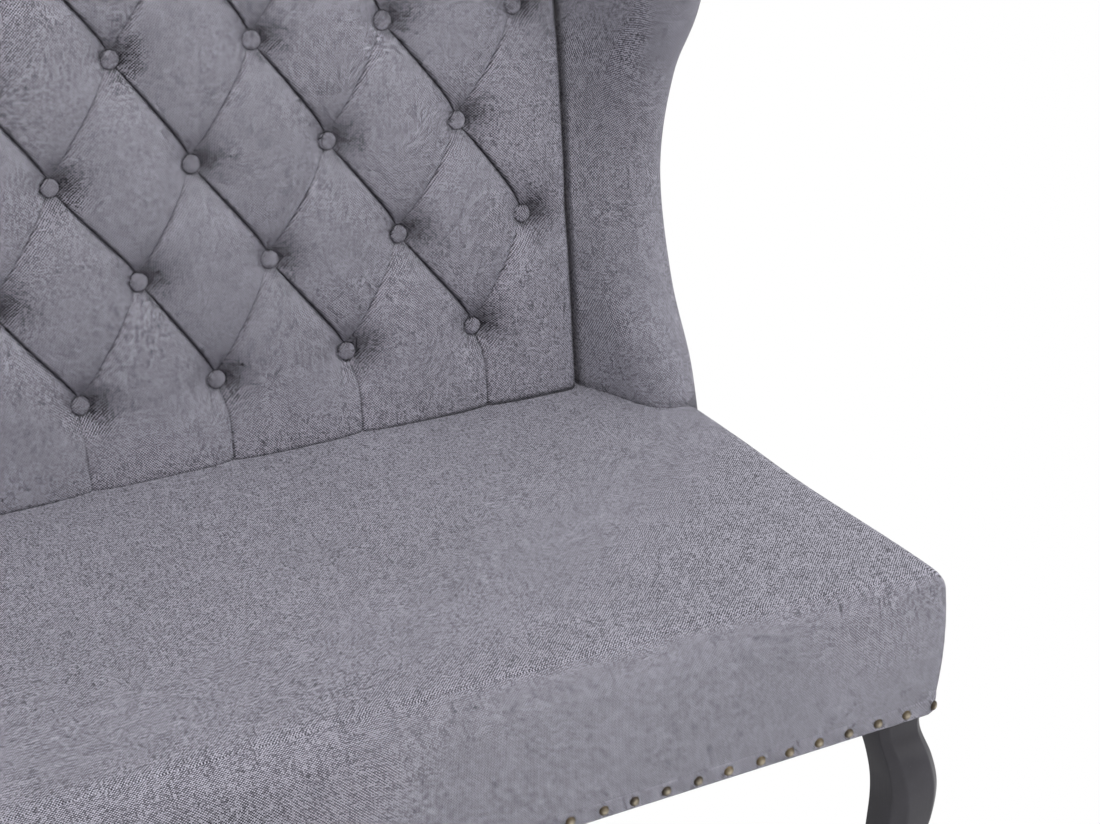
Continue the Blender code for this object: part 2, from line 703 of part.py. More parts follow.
def glide(name, at):
    pin_top = GLIDE_HEIGHT + GLIDE_PIN_LENGTH
    profile = (
        (GLIDE_RADIUS - 0.002, 0.0), (GLIDE_RADIUS, 0.0015), (GLIDE_RADIUS, GLIDE_HEIGHT),
        (GLIDE_PIN_RADIUS, GLIDE_HEIGHT), (GLIDE_PIN_RADIUS, pin_top - 0.003),
        (GLIDE_PIN_RADIUS * 0.4, pin_top),
    )
    place(turned(at, profile, 8), name, PLASTIC, 30)


# The back's slope. s runs up the crown plane and w into the padding.

def slope(s, w):
    return (SEAT_DEPTH + s * SIN + w * COS, SEAT_DEPTH_Z + s * COS - w * SIN)


def crown_y(z):
    return SEAT_DEPTH + (z - SEAT_DEPTH_Z) * TAN


def bend(w):
    """Where the sloping line at depth w meets its upright lower stretch."""
    y = POST_FRONT_Y + (w - BACK_PAD)
    s = (y - SEAT_DEPTH - w * COS) / SIN
    return slope(s, w)


def back_surface(v, w):
    """Point at depth w under the crown surface. v is counted from the first row
    of buttons, up the slope and on round the top roll."""
    if v <= ROLL_V:
        return slope(FIRST_ROW_S + v, w)
    angle = (v - ROLL_V) / ROLL
    radius = ROLL - w
    return slope(ROLL_S + radius * math.sin(angle), ROLL - radius * math.cos(angle))


def frame_bar(name, half_x, s_range, material=BEECH):
    """A rail or post of the back frame that lies on its slope."""
    low, high = s_range
    outline = [slope(low, BACK_PAD), slope(high, BACK_PAD),
               slope(high, BACK_PAD + RAIL), slope(low, BACK_PAD + RAIL)]
    bar = place(prism(outline, "X", -half_x, half_x), name, material)
    bevel(bar, 0.002)
    return bar


def back_frame():
    rear = BACK_PAD + RAIL
    for side, hand in ((1, "right"), (-1, "left")):
        outline = [
            (POST_FRONT_Y, FRAME_Z), bend(BACK_PAD), slope(FRAME_TOP_S, BACK_PAD),
            slope(FRAME_TOP_S, rear), bend(rear), (POST_FRONT_Y + RAIL, FRAME_Z),
        ]
        ends = sorted((side * POST_IN, side * POST_OUT))
        place(prism(outline, "X", *ends), "back_post_" + hand, BEECH)
    half_x = POST_IN - FIT
    top_start = FRAME_TOP_S - TOP_RAIL_HEIGHT
    lower_end = LOWER_RAIL_START + LOWER_RAIL_HEIGHT
    frame_bar("back_top_rail", half_x, (top_start, FRAME_TOP_S))
    frame_bar("back_lower_rail", half_x, (LOWER_RAIL_START, lower_end))
    frame_bar("back_centre_post", CENTRE_POST_WIDTH / 2, (lower_end + FIT, top_start - FIT))
    bottom = place(
        box((-half_x, half_x), (POST_FRONT_Y, POST_FRONT_Y + RAIL),
            (FRAME_Z, FRAME_Z + BOTTOM_RAIL_HEIGHT)),
        "back_bottom_rail", BEECH)
    bevel(bottom, 0.002)
    return bottom


def back_bolts(seat_rail, bottom_rail):
    """Bolts from inside the seat box into the back's bottom rail."""
    z = FRAME_Z + BOTTOM_RAIL_HEIGHT / 2
    inner_y = SEAT_LENGTH - SKIN - RAIL
    tools = []
    kinds = zip(("inner", "outer"), BOLT_SHARES)
    places = [(kind, share * POST_IN) for kind, share in kinds]
    for side, hand in ((1, "right"), (-1, "left")):
        for kind, x in places:
            centre = (side * x, z)
            end_y = POST_FRONT_Y + BOLT_IN_BACK
            hole = lying_turned(
                centre,
                ((BOLT_RADIUS + BORE_PLAY, inner_y - RAIL),
                 (BOLT_RADIUS + BORE_PLAY, end_y + BORE_PLAY)))
            tool = as_guide(place(hole, f"bolt_hole_{kind}_{hand}", STEEL))
            tools.append(tool)
            boolean(seat_rail, tool)
            boolean(bottom_rail, tool)
            head_y = inner_y - FIT
            bolt = lying_turned(
                centre,
                ((BOLT_HEAD_RADIUS - 0.001, head_y - BOLT_HEAD_HEIGHT),
                 (BOLT_HEAD_RADIUS, head_y - BOLT_HEAD_HEIGHT + 0.001),
                 (BOLT_HEAD_RADIUS, head_y), (BOLT_RADIUS, head_y), (BOLT_RADIUS, end_y)))
            place(bolt, f"back_bolt_{kind}_{hand}", STEEL, 30)
    return tools


def lying_turned(centre, profile, sides=12):
    """A body turned about an axis along Y; the profile is (radius, y) pairs."""
    rings = []
    for radius, y in profile:
        ring = circle(centre, radius, 0.0, sides)
        rings.append([Vector((p.x, y, p.y)) for p in ring])
    return loft(rings)


def back_webbing():
    low = LOWER_RAIL_START
    high = FRAME_TOP_S - TOP_RAIL_HEIGHT / 2
    front = BACK_PAD - FIT - WEB
    back = BACK_PAD - FIT
    outline = [slope(low, front), slope(high, front), slope(high, back), slope(low, back)]
    for i, x in enumerate(even_places(BACK_WEBS, -INSIDE_HALF, INSIDE_HALF)):
        bm = prism(outline, "X", x - WEB_WIDTH / 2, x + WEB_WIDTH / 2)
        place(bm, f"back_webbing_{i + 1}", JUTE)


# Buttoned inside back

def fold_gap(turns):
    """0 on a fold and 1 half way between two."""
    return 1 - abs(1 - 2 * (turns % 1.0))


def swell(share):
    share = min(1.0, max(0.0, share))
    return math.sqrt(1 - (1 - share) ** 2)


def last_button(row):
    """Column of the last button of a row, in half pitches from the middle."""
    odd = row % 2 == 0
    return LAST_COLUMN if (LAST_COLUMN % 2 == 1) == odd else LAST_COLUMN - 1


def tuft_edge(row_share):
    """Half width of the buttoned field at a height counted in rows."""
    low = int(row_share)
    share = row_share - low
    a = last_button(low)
    b = last_button(low + 1)
    return (a + (b - a) * share) * HALF_PITCH


def diamond_rise(u, v):
    """Rise of the padding from button depth, 0, to the crown plane, 1."""
    column = u / HALF_PITCH - 1
    row = v / ROW_PITCH
    a = swell(fold_gap((column + row) / 2))
    b = swell(fold_gap((column - row) / 2))
    along_folds = 1 - (1 - a) * (1 - b)
    return FOLD_RISE * along_folds + (1 - FOLD_RISE) * a * b


def tuft_rise(u, v):
    top_v = LAST_ROW * ROW_PITCH
    inside_v = min(top_v, max(0.0, v))
    edge = tuft_edge(min(LAST_ROW - 1e-6, inside_v / ROW_PITCH))
    beyond = abs(u) - edge
    rise = diamond_rise(min(abs(u), edge), inside_v)
    if beyond > 0:
        rise += (1 - rise) * swell(beyond / TUFT_MARGIN)
    if v < 0:
        rise = 1 - (1 - rise) * (1 - PLEAT_FADE * swell(-v / PLEAT_LENGTH))
    if v > top_v:
        fade = smoothstep((v - top_v) / (ROLL_V - top_v + TOP_FADE))
        rise = 1 - (1 - rise) * (1 - fade)
    return rise


def back_node(u, v, w):
    y, z = back_surface(v, w)
    return Vector((u, y, z))


def column_places():
    """Grid columns: thirds of a half pitch, then the plain margin."""
    last = LAST_COLUMN * FINE
    middle = [i * HALF_PITCH / FINE for i in range(-last, last + 1)]
    return [-INSIDE_HALF] + middle + [INSIDE_HALF]


def on_seat(point, lift=SOFT_FIT):
    return Vector((point.x, point.y, seat_top(point.x, point.y) + lift))


def seat_v():
    """v of the line where the inside back meets the seat."""
    return (LEG_HEIGHT + SEAT_HEIGHT - SEAT_FALL_Y - SEAT_DEPTH_Z) / COS - FIRST_ROW_S


def roll_rows():
    """Rows over the top roll, the same in front of and behind the cover."""
    return [ROLL_V + math.pi * ROLL * i / ROLL_STEPS for i in range(1, ROLL_STEPS + 1)]


def outer_rows():
    rows = [seat_v()] + [j * ROW_PITCH / FINE for j in range(LAST_ROW * FINE + 1)]
    return rows + [ROLL_V] + roll_rows()


def inner_rows():
    rows = [seat_v()] + [j * ROW_PITCH for j in range(LAST_ROW + 1)]
    return rows + roll_rows()


def inner_columns(reach):
    middle = [i * HALF_PITCH for i in range(-LAST_COLUMN, LAST_COLUMN + 1)]
    return [-reach] + middle + [reach]


def is_button(u, v):
    """Whether a grid node carries a button."""
    column = round(u / HALF_PITCH)
    row = round(v / ROW_PITCH)
    on_node = abs(u - column * HALF_PITCH) < 1e-6 and abs(v - row * ROW_PITCH) < 1e-6
    in_field = 0 <= row <= LAST_ROW and abs(column) <= LAST_COLUMN
    return on_node and in_field and (column + row) % 2 == 1


def crown_depth(u, v):
    """Depth of the cover's face under the crown surface."""
    return TUFT_DEPTH * (1 - tuft_rise(u, v))


def outer_grid():
    columns = column_places()
    rows = outer_rows()
    grid = []
    for v in rows:
        line = [back_node(u, v, crown_depth(u, v)) for u in columns]
        line.insert(0, back_node(-INSIDE_HALF, v, SIDE_RETURN))
        line.append(back_node(INSIDE_HALF, v, SIDE_RETURN))
        grid.append(line)
    grid[0] = [on_seat(point) for point in grid[0]]
    return grid, [None, *columns, None], rows


def inner_grid(inset, behind):
    """The coarse surface behind the cover, at its buttons and its crowns. Its two
    sides lie deeper, so that it passes behind the pits of the end buttons."""
    reach = INSIDE_HALF - inset
    columns = inner_columns(reach)
    rows = inner_rows()
    grid = []
    for v in rows:
        depths = [crown_depth(u, v) + behind for u in columns]
        if v < ROLL_V:
            depths[0] += PIT_ROOM
            depths[-1] += PIT_ROOM
        line = [back_node(u, v, depth) for u, depth in zip(columns, depths)]
        line.insert(0, back_node(-reach, v, SIDE_RETURN))
        line.append(back_node(reach, v, SIDE_RETURN))
        grid.append(line)
    grid[0] = [on_seat(point) for point in grid[0]]
    return grid


def outer_slant(i, j):
    """Whether a fine cell is split along the folds that fall to the right."""
    column = i - 2 - LAST_COLUMN * FINE
    row = j - 1
    period = 2 * FINE
    falling = (column + row + 1 - FINE) % period
    rising = (column - row - FINE) % period
    return min(falling, period - falling) < min(rising, period - rising)


def inner_slant(i, j):
    """The same for a coarse cell, whose folds run from button to button."""
    column = i - 2 - LAST_COLUMN
    row = j - 1
    return (column + row) % 2 == 0


def add_grid(bm, grid, slant, skip=()):
    """Adds a grid of points as triangles, and gives back its vertices."""
    verts = [[bm.verts.new(point) for point in line] for line in grid]
    for j in range(len(verts) - 1):
        for i in range(len(verts[0]) - 1):
            if (i, j) in skip:
                continue
            a, b = verts[j][i], verts[j][i + 1]
            c, d = verts[j + 1][i + 1], verts[j + 1][i]
            halves = ((a, b, d), (b, c, d)) if slant(i, j) else ((a, b, c), (a, c, d))
            for half in halves:
                bm.faces.new(half)
    return verts


def stitch(bm, first, second):
    """Fills between two lines of vertices with triangles, whatever their counts."""
    def shares(line):
        steps = [(b.co - a.co).length for a, b in zip(line, line[1:])]
        total = sum(steps)
        sums = [0.0]
        for step in steps:
            sums.append(sums[-1] + step / total)
        return sums
    share_a = shares(first)
    share_b = shares(second)
    i = 0
    j = 0
    while i < len(first) - 1 or j < len(second) - 1:
        take_a = j == len(second) - 1
        if not take_a and i < len(first) - 1:
            take_a = share_a[i + 1] <= share_b[j + 1]
        if take_a:
            bm.faces.new((first[i], first[i + 1], second[j]))
            i += 1
        else:
            bm.faces.new((first[i], second[j + 1], second[j]))
            j += 1


def sides_of(verts):
    bottom = list(verts[0])
    top = list(verts[-1])
    left = [line[0] for line in verts]
    right = [line[-1] for line in verts]
    return bottom, right, top, left


def add_button(bm, ring, u, v):
    """Closes the hole round one button: the pit's wall, then the button."""
    count = BUTTON_SIDES
    levels = ((BUTTON_RADIUS, TUFT_DEPTH), (0.72 * BUTTON_RADIUS, TUFT_DEPTH - BUTTON_HEIGHT))
    rings = []
    for radius, depth in levels:
        line = []
        for i in range(count):
            angle = math.tau * i / count
            point = back_node(u + radius * math.cos(angle), v + radius * math.sin(angle), depth)
            line.append(bm.verts.new(point))
        rings.append(line)
    base, crown = rings
    stitch(bm, ring + [ring[0]], base + [base[0]])
    for i in range(count):
        j = (i + 1) % count
        bm.faces.new((base[i], base[j], crown[j], crown[i]))
    bm.faces.new(crown)


def inside_back_cover():
    """The buttoned cover: folds run on the diagonals from button to button."""
    grid, columns, rows = outer_grid()
    buttons = []
    for j, v in enumerate(rows):
        for i, u in enumerate(columns):
            if u is not None and is_button(u, v):
                buttons.append((i, j, u, v))
    skip = set()
    for i, j, _, _ in buttons:
        skip.update({(i - 1, j - 1), (i, j - 1), (i - 1, j), (i, j)})
    bm = bmesh.new()
    outer = add_grid(bm, grid, outer_slant, skip)
    around = ((1, 0), (1, 1), (0, 1), (-1, 1), (-1, 0), (-1, -1), (0, -1), (1, -1))
    for i, j, u, v in buttons:
        ring = [outer[j + dj][i + di] for di, dj in around]
        add_button(bm, ring, u, v)
        bm.verts.remove(outer[j][i])
    close_between(bm, outer, add_grid(bm, inner_grid(FABRIC, COVER_AT_BUTTON), inner_slant))
    place(bm, "inside_back_cover", CLOTH, 75)


def close_between(bm, outer, inner):
    """Closes the rim between two grids and turns every face outwards."""
    for a, b in zip(sides_of(outer), sides_of(inner)):
        stitch(bm, a, b)
    bmesh.ops.recalc_face_normals(bm, faces=bm.faces)


def back_foam():
    """Foam between the cover and the webbing, lapped over the top rail."""
    returned = inner_grid(PAD_INSET, COVER_AT_BUTTON + 2 * SOFT_FIT)
    front = [line[1:-1] for line in returned]
    stand_off = BACK_PAD - FIT - WEB - SOFT_FIT
    back = []
    first_on_roll = roll_rows()[0]
    for v, line in zip(inner_rows(), front):
        s = min(ROLL_S, FIRST_ROW_S + v)
        over = max(0.0, v - first_on_roll) / (roll_rows()[-1] - first_on_roll)
        w = stand_off + (BACK_THICK - 3 * COVER_AT_BUTTON - stand_off) * over
        y, z = slope(s, w)
        back.append([Vector((point.x, y, z)) for point in line])
    back[0] = [on_seat(point) for point in back[0]]
    bm = bmesh.new()
    outer, inner = [
        add_grid(bm, grid, lambda i, j: inner_slant(i + 1, j)) for grid in (front, back)
    ]
    close_between(bm, outer, inner)
    place(bm, "back_foam", FOAM, 50)


def outside_back():
    front = BACK_PAD + RAIL + FIT
    rear = front + OUTSIDE_BACK
    outline = [
        (POST_FRONT_Y + RAIL + FIT, LEG_HEIGHT), bend(front), slope(FRAME_TOP_S, front),
        slope(FRAME_TOP_S, rear), bend(rear),
        (POST_FRONT_Y + RAIL + FIT + OUTSIDE_BACK, LEG_HEIGHT),
    ]
    place(prism(outline, "X", -WING_OUT, WING_OUT), "outside_back_cover", CLOTH_BACK)


# Wings

def to_slope(y, z):
    """The (s, w) of a point on the back's slope."""
    dy = y - SEAT_DEPTH
    dz = z - SEAT_DEPTH_Z
    return dy * SIN + dz * COS, dy * COS - dz * SIN


def spline(knots, steps):
    """A smooth line through knots, with so many steps between two of them."""
    padded = [2 * knots[0] - knots[1], *knots, 2 * knots[-1] - knots[-2]]
    points = []
    for k in range(1, len(padded) - 2):
        a, b, c, d = padded[k - 1:k + 3]
        for i in range(steps):
            t = i / steps
            points.append(0.5 * (2 * b + (c - a) * t + (2 * a - 5 * b + 4 * c - d) * t ** 2
                                 + (3 * b - a - 3 * c + d) * t ** 3))
    points.append(knots[-1])
    return points


def wing_edge():
    """Stations along the wing's edge, each a (y, z) point, its outward normal and
    the radius of the padding there: up the front from below the seat's top, over
    the top and down the rear roll, where the padding thins to clear the frame."""
    span = HEIGHT - SEAT_DEPTH_Z
    radius = ROLL - 2 * SOFT_FIT
    centre = Vector(slope(ROLL_S + 2 * SOFT_FIT, ROLL))
    knots = []
    for share, reach in WING_EDGE:
        z = SEAT_DEPTH_Z + span * share
        knots.append(Vector((crown_y(z) - reach, z)))
    knots.append(centre + Vector((0.0, radius)))
    line = [Vector((p.x, min(p.y, centre.y + radius))) for p in spline(knots, WING_STEPS)]
    stations = []
    for i, point in enumerate(line):
        step = line[min(i + 1, len(line) - 1)] - line[max(i - 1, 0)]
        along = step.normalized()
        stations.append((point, Vector((-along.y, along.x)), WING_ROLL))
    rear_roll = ROLL + radius - BACK_PAD
    for step in (1, 2, 3):
        share = step / 3
        turn = math.pi / 2 * share
        outward = Vector((math.sin(turn), math.cos(turn)))
        roll = WING_ROLL + (rear_roll - WING_ROLL) * share
        stations.append((centre + outward * radius, outward, roll))
    return stations


EDGE = wing_edge()


def nose_y(z):
    """Front of the wing at a height, up to where its edge turns over."""
    top = SEAT_DEPTH_Z + (HEIGHT - SEAT_DEPTH_Z) * WING_NOSE_TOP
    z = min(z, top)
    for (a, _, _), (b, _, _) in zip(EDGE, EDGE[1:]):
        if a.y <= z <= b.y:
            return a.x + (b.x - a.x) * (z - a.y) / (b.y - a.y)
    return EDGE[0][0].x


def wing_point(place_yz, sine, face, inset, side):
    """A point of the wing's skin. sine is 0 on the edge and 1 past its roll, and
    face is 1 on the outer side and -1 on the inner one, which splays out to the
    wing's full thickness where it meets the back."""
    y, z = place_yz
    nose = nose_y(z)
    run = crown_y(z) + MEETING_DEPTH - nose
    share = min(1.0, max(0.0, (y - nose) / run))
    half = WING_ROLL + WING_SPLAY / 2 * share ** SPLAY_POWER
    middle = WING_OUT - half
    if face < 0:
        slant = WING_SPLAY * SPLAY_POWER * share ** (SPLAY_POWER - 1) / run
        inset *= math.hypot(1.0, slant)
    return Vector((side * (middle + face * (half - inset) * sine), y, z))


def wing_inner_places(core):
    """Where the inner face meets the inside back, and where it ends on the frame."""
    s, w = to_slope(*core)
    top = ROLL_S + SOFT_FIT
    end_w = BACK_PAD - SOFT_FIT
    end = Vector(slope(min(s, top), end_w) if w < end_w else slope(top, w))
    if w < MEETING_DEPTH:
        return Vector(slope(min(s, top + SOFT_FIT), MEETING_DEPTH)), end
    return (core + end) / 2, end


def wing_section(point, outward, roll, inset, side):
    """One section of the wing's skin, from its outer side round to the frame."""
    core = point - outward * roll
    section = []
    for face, angles in ((1, (90, 60, 30, 0)), (-1, (30, 60, 90))):
        for angle in angles:
            turn = math.radians(angle)
            at = core + outward * (roll - inset) * math.cos(turn)
            section.append(wing_point(at, math.sin(turn), face, inset, side))
    meeting, end = wing_inner_places(core)
    for at in ((core + meeting) / 2, meeting, end):
        section.append(wing_point(at, 1.0, -1, inset, side))
    return section, core, end


def merge_close(bm):
    """Merges points that fell together and splits every face the same way."""
    bmesh.ops.remove_doubles(bm, verts=bm.verts, dist=0.00005)
    bmesh.ops.triangulate(bm, faces=bm.faces, quad_method="FIXED")


def wing_cover(side, name, guide):
    """Cover over the wing's inner face, front and top, lapped onto its outer side."""
    bm = bmesh.new()
    lines = []
    for point, outward, roll in EDGE:
        section, core, _ = wing_section(point, outward, roll, 0.0, side)
        _, w = to_slope(*core)
        lap = core - outward * WING_SEAM
        if w > ROLL - WING_SEAM:
            lap = Vector(slope(ROLL_S + SOFT_FIT, w))
        section.insert(0, Vector((side * WING_OUT, *lap)))
        lines.append([bm.verts.new(p) for p in section])
    for low, high in zip(lines, lines[1:]):
        for i in range(len(low) - 1):
            right = (low[i], high[i], high[i + 1], low[i + 1])
            left = (low[i], low[i + 1], high[i + 1], high[i])
            bm.faces.new(right if side > 0 else left)
    merge_close(bm)
    cover = place(bm, name, CLOTH, 50)
    solidify(cover, FABRIC)
    boolean(cover, guide)


def wing_pad(side, name, guide):
    """Foam between the cover and the board."""
    rings = []
    board_x = side * (BOARD_IN - SOFT_FIT)
    for point, outward, roll in EDGE:
        section, core, end = wing_section(point, outward, roll, WING_PAD_INSET, side)
        section.append(Vector((board_x, *end)))
        section.append(Vector((board_x, *core)))
        rings.append(section)
    bm = loft(rings)
    merge_close(bm)
    bmesh.ops.recalc_face_normals(bm, faces=bm.faces)
    pad = place(bm, name, FOAM, 50)
    boolean(pad, guide)


def wing_board_outline(inset, low_z):
    """Side view of a flat wing panel set in from the edge. Its tail runs down
    beside the back post, behind the seat."""
    rear = BACK_PAD + RAIL
    outline = []
    for point, outward, _ in EDGE:
        core = point - outward * inset
        s, w = to_slope(*core)
        if w < ROLL - WING_SEAM and s < FRAME_TOP_S + WING_ROLL:
            outline.append(slope(min(s, FRAME_TOP_S), w) if w > 0 else tuple(core))
    under = POST_FRONT_Y - RAIL / 2
    outline += [slope(FRAME_TOP_S, rear), bend(rear), (POST_FRONT_Y + RAIL, low_z),
                (under, low_z), (under, outline[0][1])]
    return outline


def wing_boards(side, hand, guide):
    board_inset = WING_ROLL + 2 * SOFT_FIT
    panel_inset = WING_ROLL + WING_SEAM + FIT
    plates = (
        ("wing_frame_", board_inset, FRAME_Z, (BOARD_IN, BOARD_OUT), BEECH),
        ("wing_outer_panel_", panel_inset, LEG_HEIGHT, (BOARD_OUT + FIT, WING_OUT), CLOTH_BACK),
    )
    for label, inset, low_z, faces, material in plates:
        low, high = sorted(side * x for x in faces)
        bm = prism(wing_board_outline(inset, low_z), "X", low, high)
        plate = place(bm, label + hand, material)
        boolean(plate, guide)


def wings(guide):
    for side, hand in ((1, "right"), (-1, "left")):
        wing_cover(side, "wing_cover_" + hand, guide)
        wing_pad(side, "wing_pad_" + hand, guide)
        wing_boards(side, hand, guide)


# The whole settee

def main():
    guide = seat_guide()
    seat_back_rail = seat_frame()
    corner_blocks()
    seat_webbing()
    bottom_rail = back_frame()
    bolt_tools = back_bolts(seat_back_rail, bottom_rail)
    seat_upholstery(bolt_tools)
    dust_cover()
    nail_trim()
    legs()
    back_webbing()
    back_foam()
    inside_back_cover()
    outside_back()
    wings(guide)


main()
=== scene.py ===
# Looks of the two-seater wing-back settee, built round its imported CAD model.
# Units are metres. Pieces are modelled from the seat's front face, as the CAD
# is, and stand at FRONT_Y, which the frame gives.

import math
import random

import bmesh
import bpy
import numpy as np
from mathutils import Matrix, Vector
from mathutils.geometry import delaunay_2d_cdt

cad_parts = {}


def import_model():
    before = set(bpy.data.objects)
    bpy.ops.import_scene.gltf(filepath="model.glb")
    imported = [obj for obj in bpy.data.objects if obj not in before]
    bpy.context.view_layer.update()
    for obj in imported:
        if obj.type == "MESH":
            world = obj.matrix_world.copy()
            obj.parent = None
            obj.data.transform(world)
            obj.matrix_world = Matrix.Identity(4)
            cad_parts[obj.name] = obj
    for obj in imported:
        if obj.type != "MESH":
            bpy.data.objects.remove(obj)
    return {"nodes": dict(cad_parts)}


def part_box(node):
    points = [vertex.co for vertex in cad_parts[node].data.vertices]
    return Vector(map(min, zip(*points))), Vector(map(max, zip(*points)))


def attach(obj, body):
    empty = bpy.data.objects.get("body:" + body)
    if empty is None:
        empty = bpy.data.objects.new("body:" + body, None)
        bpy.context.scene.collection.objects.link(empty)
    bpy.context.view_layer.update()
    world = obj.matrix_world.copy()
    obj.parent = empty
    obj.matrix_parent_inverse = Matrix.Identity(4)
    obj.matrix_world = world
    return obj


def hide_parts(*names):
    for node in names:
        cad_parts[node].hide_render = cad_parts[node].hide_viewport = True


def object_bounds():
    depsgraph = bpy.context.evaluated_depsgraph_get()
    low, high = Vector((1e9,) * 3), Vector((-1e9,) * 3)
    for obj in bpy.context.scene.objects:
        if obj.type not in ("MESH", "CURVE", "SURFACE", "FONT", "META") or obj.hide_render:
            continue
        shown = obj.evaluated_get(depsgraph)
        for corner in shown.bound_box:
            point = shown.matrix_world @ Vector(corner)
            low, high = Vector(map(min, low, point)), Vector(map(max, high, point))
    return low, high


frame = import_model()
CAD_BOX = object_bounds()

# Sizes read from the frame
SEAT_LOW, SEAT_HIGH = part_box("seat_cover")
WING_LOW, WING_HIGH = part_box("wing_cover_right")
BACK_LOW, BACK_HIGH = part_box("inside_back_cover")
FRONT_Y = SEAT_LOW.y
HALF = SEAT_HIGH.x
SEAT_LENGTH = SEAT_HIGH.y - SEAT_LOW.y
LEG_HEIGHT = SEAT_LOW.z
SEAT_CROWN = SEAT_HIGH.z
HEIGHT = CAD_BOX[1].z
WING_OUT = WING_HIGH.x
INSIDE_HALF = BACK_HIGH.x

# Seat
SEAT_FALL_X = 0.006
SEAT_FALL_Y = 0.008
SEAT_ROLL = 0.042
SEAT_CORNER_ROLL = 0.020
SEAT_ROLL_RUN = 0.300
SEAT_BACK_ROLL = 0.010
SEAT_BULGE = 0.0055       # how far the stuffing pushes the sides out at half height
SEAT_SHRINK = (0.8, 0.6, 0.4, 0.2, 0.06)
SEAT_CORNER = 0.017
SEAT_MIDDLE_Y = SEAT_LENGTH / 2

# Nail trim
BAND_HEIGHT = 0.018
BAND = 0.0012
BAND_STEP = 0.008
NAIL_RADIUS = 0.0052
NAIL_HEIGHT = 0.0034
NAIL_PITCH = 0.0344
NAIL_RISE = 0.009
NAIL_SIDES = 16

# Back, on its crown plane
SEAT_DEPTH = 0.545
SEAT_DEPTH_Z = 0.487
BACK_TILT = math.radians(6.6)
BACK_PAD = 0.062
FRAME_DEPTH = 0.0253
OUTSIDE_BACK = 0.003
BACK_BEND_Z = 0.440
TAN = math.tan(BACK_TILT)
SIN = math.sin(BACK_TILT)
COS = math.cos(BACK_TILT)
BACK_THICK = BACK_PAD + FRAME_DEPTH + OUTSIDE_BACK
ROLL = BACK_THICK / 2
ROLL_S = (HEIGHT - ROLL + ROLL * SIN - SEAT_DEPTH_Z) / COS
POST_FRONT_Y = SEAT_DEPTH + (BACK_BEND_Z - SEAT_DEPTH_Z) * TAN + BACK_PAD / COS

# Buttoning
HALF_PITCH = 0.075
ROW_PITCH = 0.117
FIRST_ROW_Z = 0.587
FIRST_ROW_S = (FIRST_ROW_Z - SEAT_DEPTH_Z) / COS
ROLL_V = ROLL_S - FIRST_ROW_S
LAST_ROW = 4
LAST_COLUMN = 6
TUFT_DEPTH = 0.0272
BUTTON_RADIUS = 0.0098
BUTTON_HEIGHT = 0.0075
SIDE_RETURN = 0.030
SIDE_GAP = 0.005          # slot between the inside back and the wing
SIDE_DRAW = 0.050         # over which the cover is drawn in to leave the slot
NUDGE = 0.0005
# How far hand buttoning strayed from the grid, sideways and up, times NUDGE
NUDGES = {
    (1, 0): (-1.0, -1.3), (3, 0): (-1.4, 1.8), (5, 0): (4.9, 0.7), (0, 1): (6.6, 6.7),
    (2, 1): (-6.1, 3.9), (4, 1): (-6.3, 7.0), (6, 1): (-5.4, 3.0), (1, 2): (-4.0, 0.0),
    (3, 2): (-2.3, 1.7), (5, 2): (0.6, 1.6), (2, 3): (1.3, 1.4), (4, 3): (-4.5, 4.3),
    (6, 3): (3.1, -2.2),
}
FOLD_DEPTH = 0.0100       # fold under the crown plane, half way between buttons
FOLD_REACH = 0.060        # how far a fold draws the padding in
FOLD_STEP = 0.0030        # the upper side of a pleat lies this far over the lower
FOLD_CREASE = 0.0045
CREASE_WIDTH = 0.0014
CREASE_SHADE = 0.0010     # half width of the painted shade line along a crease
LAP_REACH = 0.010
LAP_BLEND = 0.0006
PIT_FLOOR = 0.0080        # radius of the flat floor under a button
PIT_REACH = 0.017
PIT_SHADE = 0.018         # how far the painted shade on the side of a pit turned from the light reaches past its button
RIM_SHADE = 0.0016
EDGE_ROUND = 0.016        # how far in the cover's edge beside a wing is rounded
EDGE_DROP = 0.012
FOOT_ROUND = 0.030        # how far up the cover is drawn in behind the seat
FOOT_DROP = 0.006

# Legs
LEG_TOP = 0.050
LEG_TOP_Z = LEG_HEIGHT + 0.0017
LEG_INSET_X = 0.0075
LEG_INSET_Y = 0.014
LEG_X = HALF - LEG_INSET_X - LEG_TOP / 2
KNEE_PROUD = 0.009
KNEE_HALF = 0.028
REAR_HEEL = 0.722
REAR_SWEEP = 1.7
REAR_FOOT_HALF = 0.016
PLAIN_CUT = 0.45          # chamfer at the back of a leg, as a share of the show side's
CHAMFER_EASE = 0.16       # share of a chamfer that its rounded edge takes up
LEG_FOOT_Z = 0.0053

# Wings
WING_ROLL = 0.035
MEETING_DEPTH = 0.007
SPLAY_POWER = 1.5
WING_SEAM = 0.010
WING_EDGE = (
    (-0.10, 0.112), (0.08, 0.091), (0.22, 0.053), (0.40, 0.038), (0.57, 0.073),
    (0.70, 0.130), (0.86, 0.171), (0.955, 0.150), (1.0, 0.060),
)
WING_NOSE_TOP = 0.86
WING_STEPS = 10
WING_IN = INSIDE_HALF + 0.001
WING_SPLAY = WING_OUT - 2 * WING_ROLL - WING_IN

# Cloth
PANEL_EASE = 0.0009       # how far the edges of a tight panel are rounded
THREAD = 0.00148          # from one thread of the weave to the next


# Materials

def new_material(name):
    material = bpy.data.materials.new(name)
    material.use_nodes = True
    tree = material.node_tree
    return material, tree, tree.nodes["Principled BSDF"]


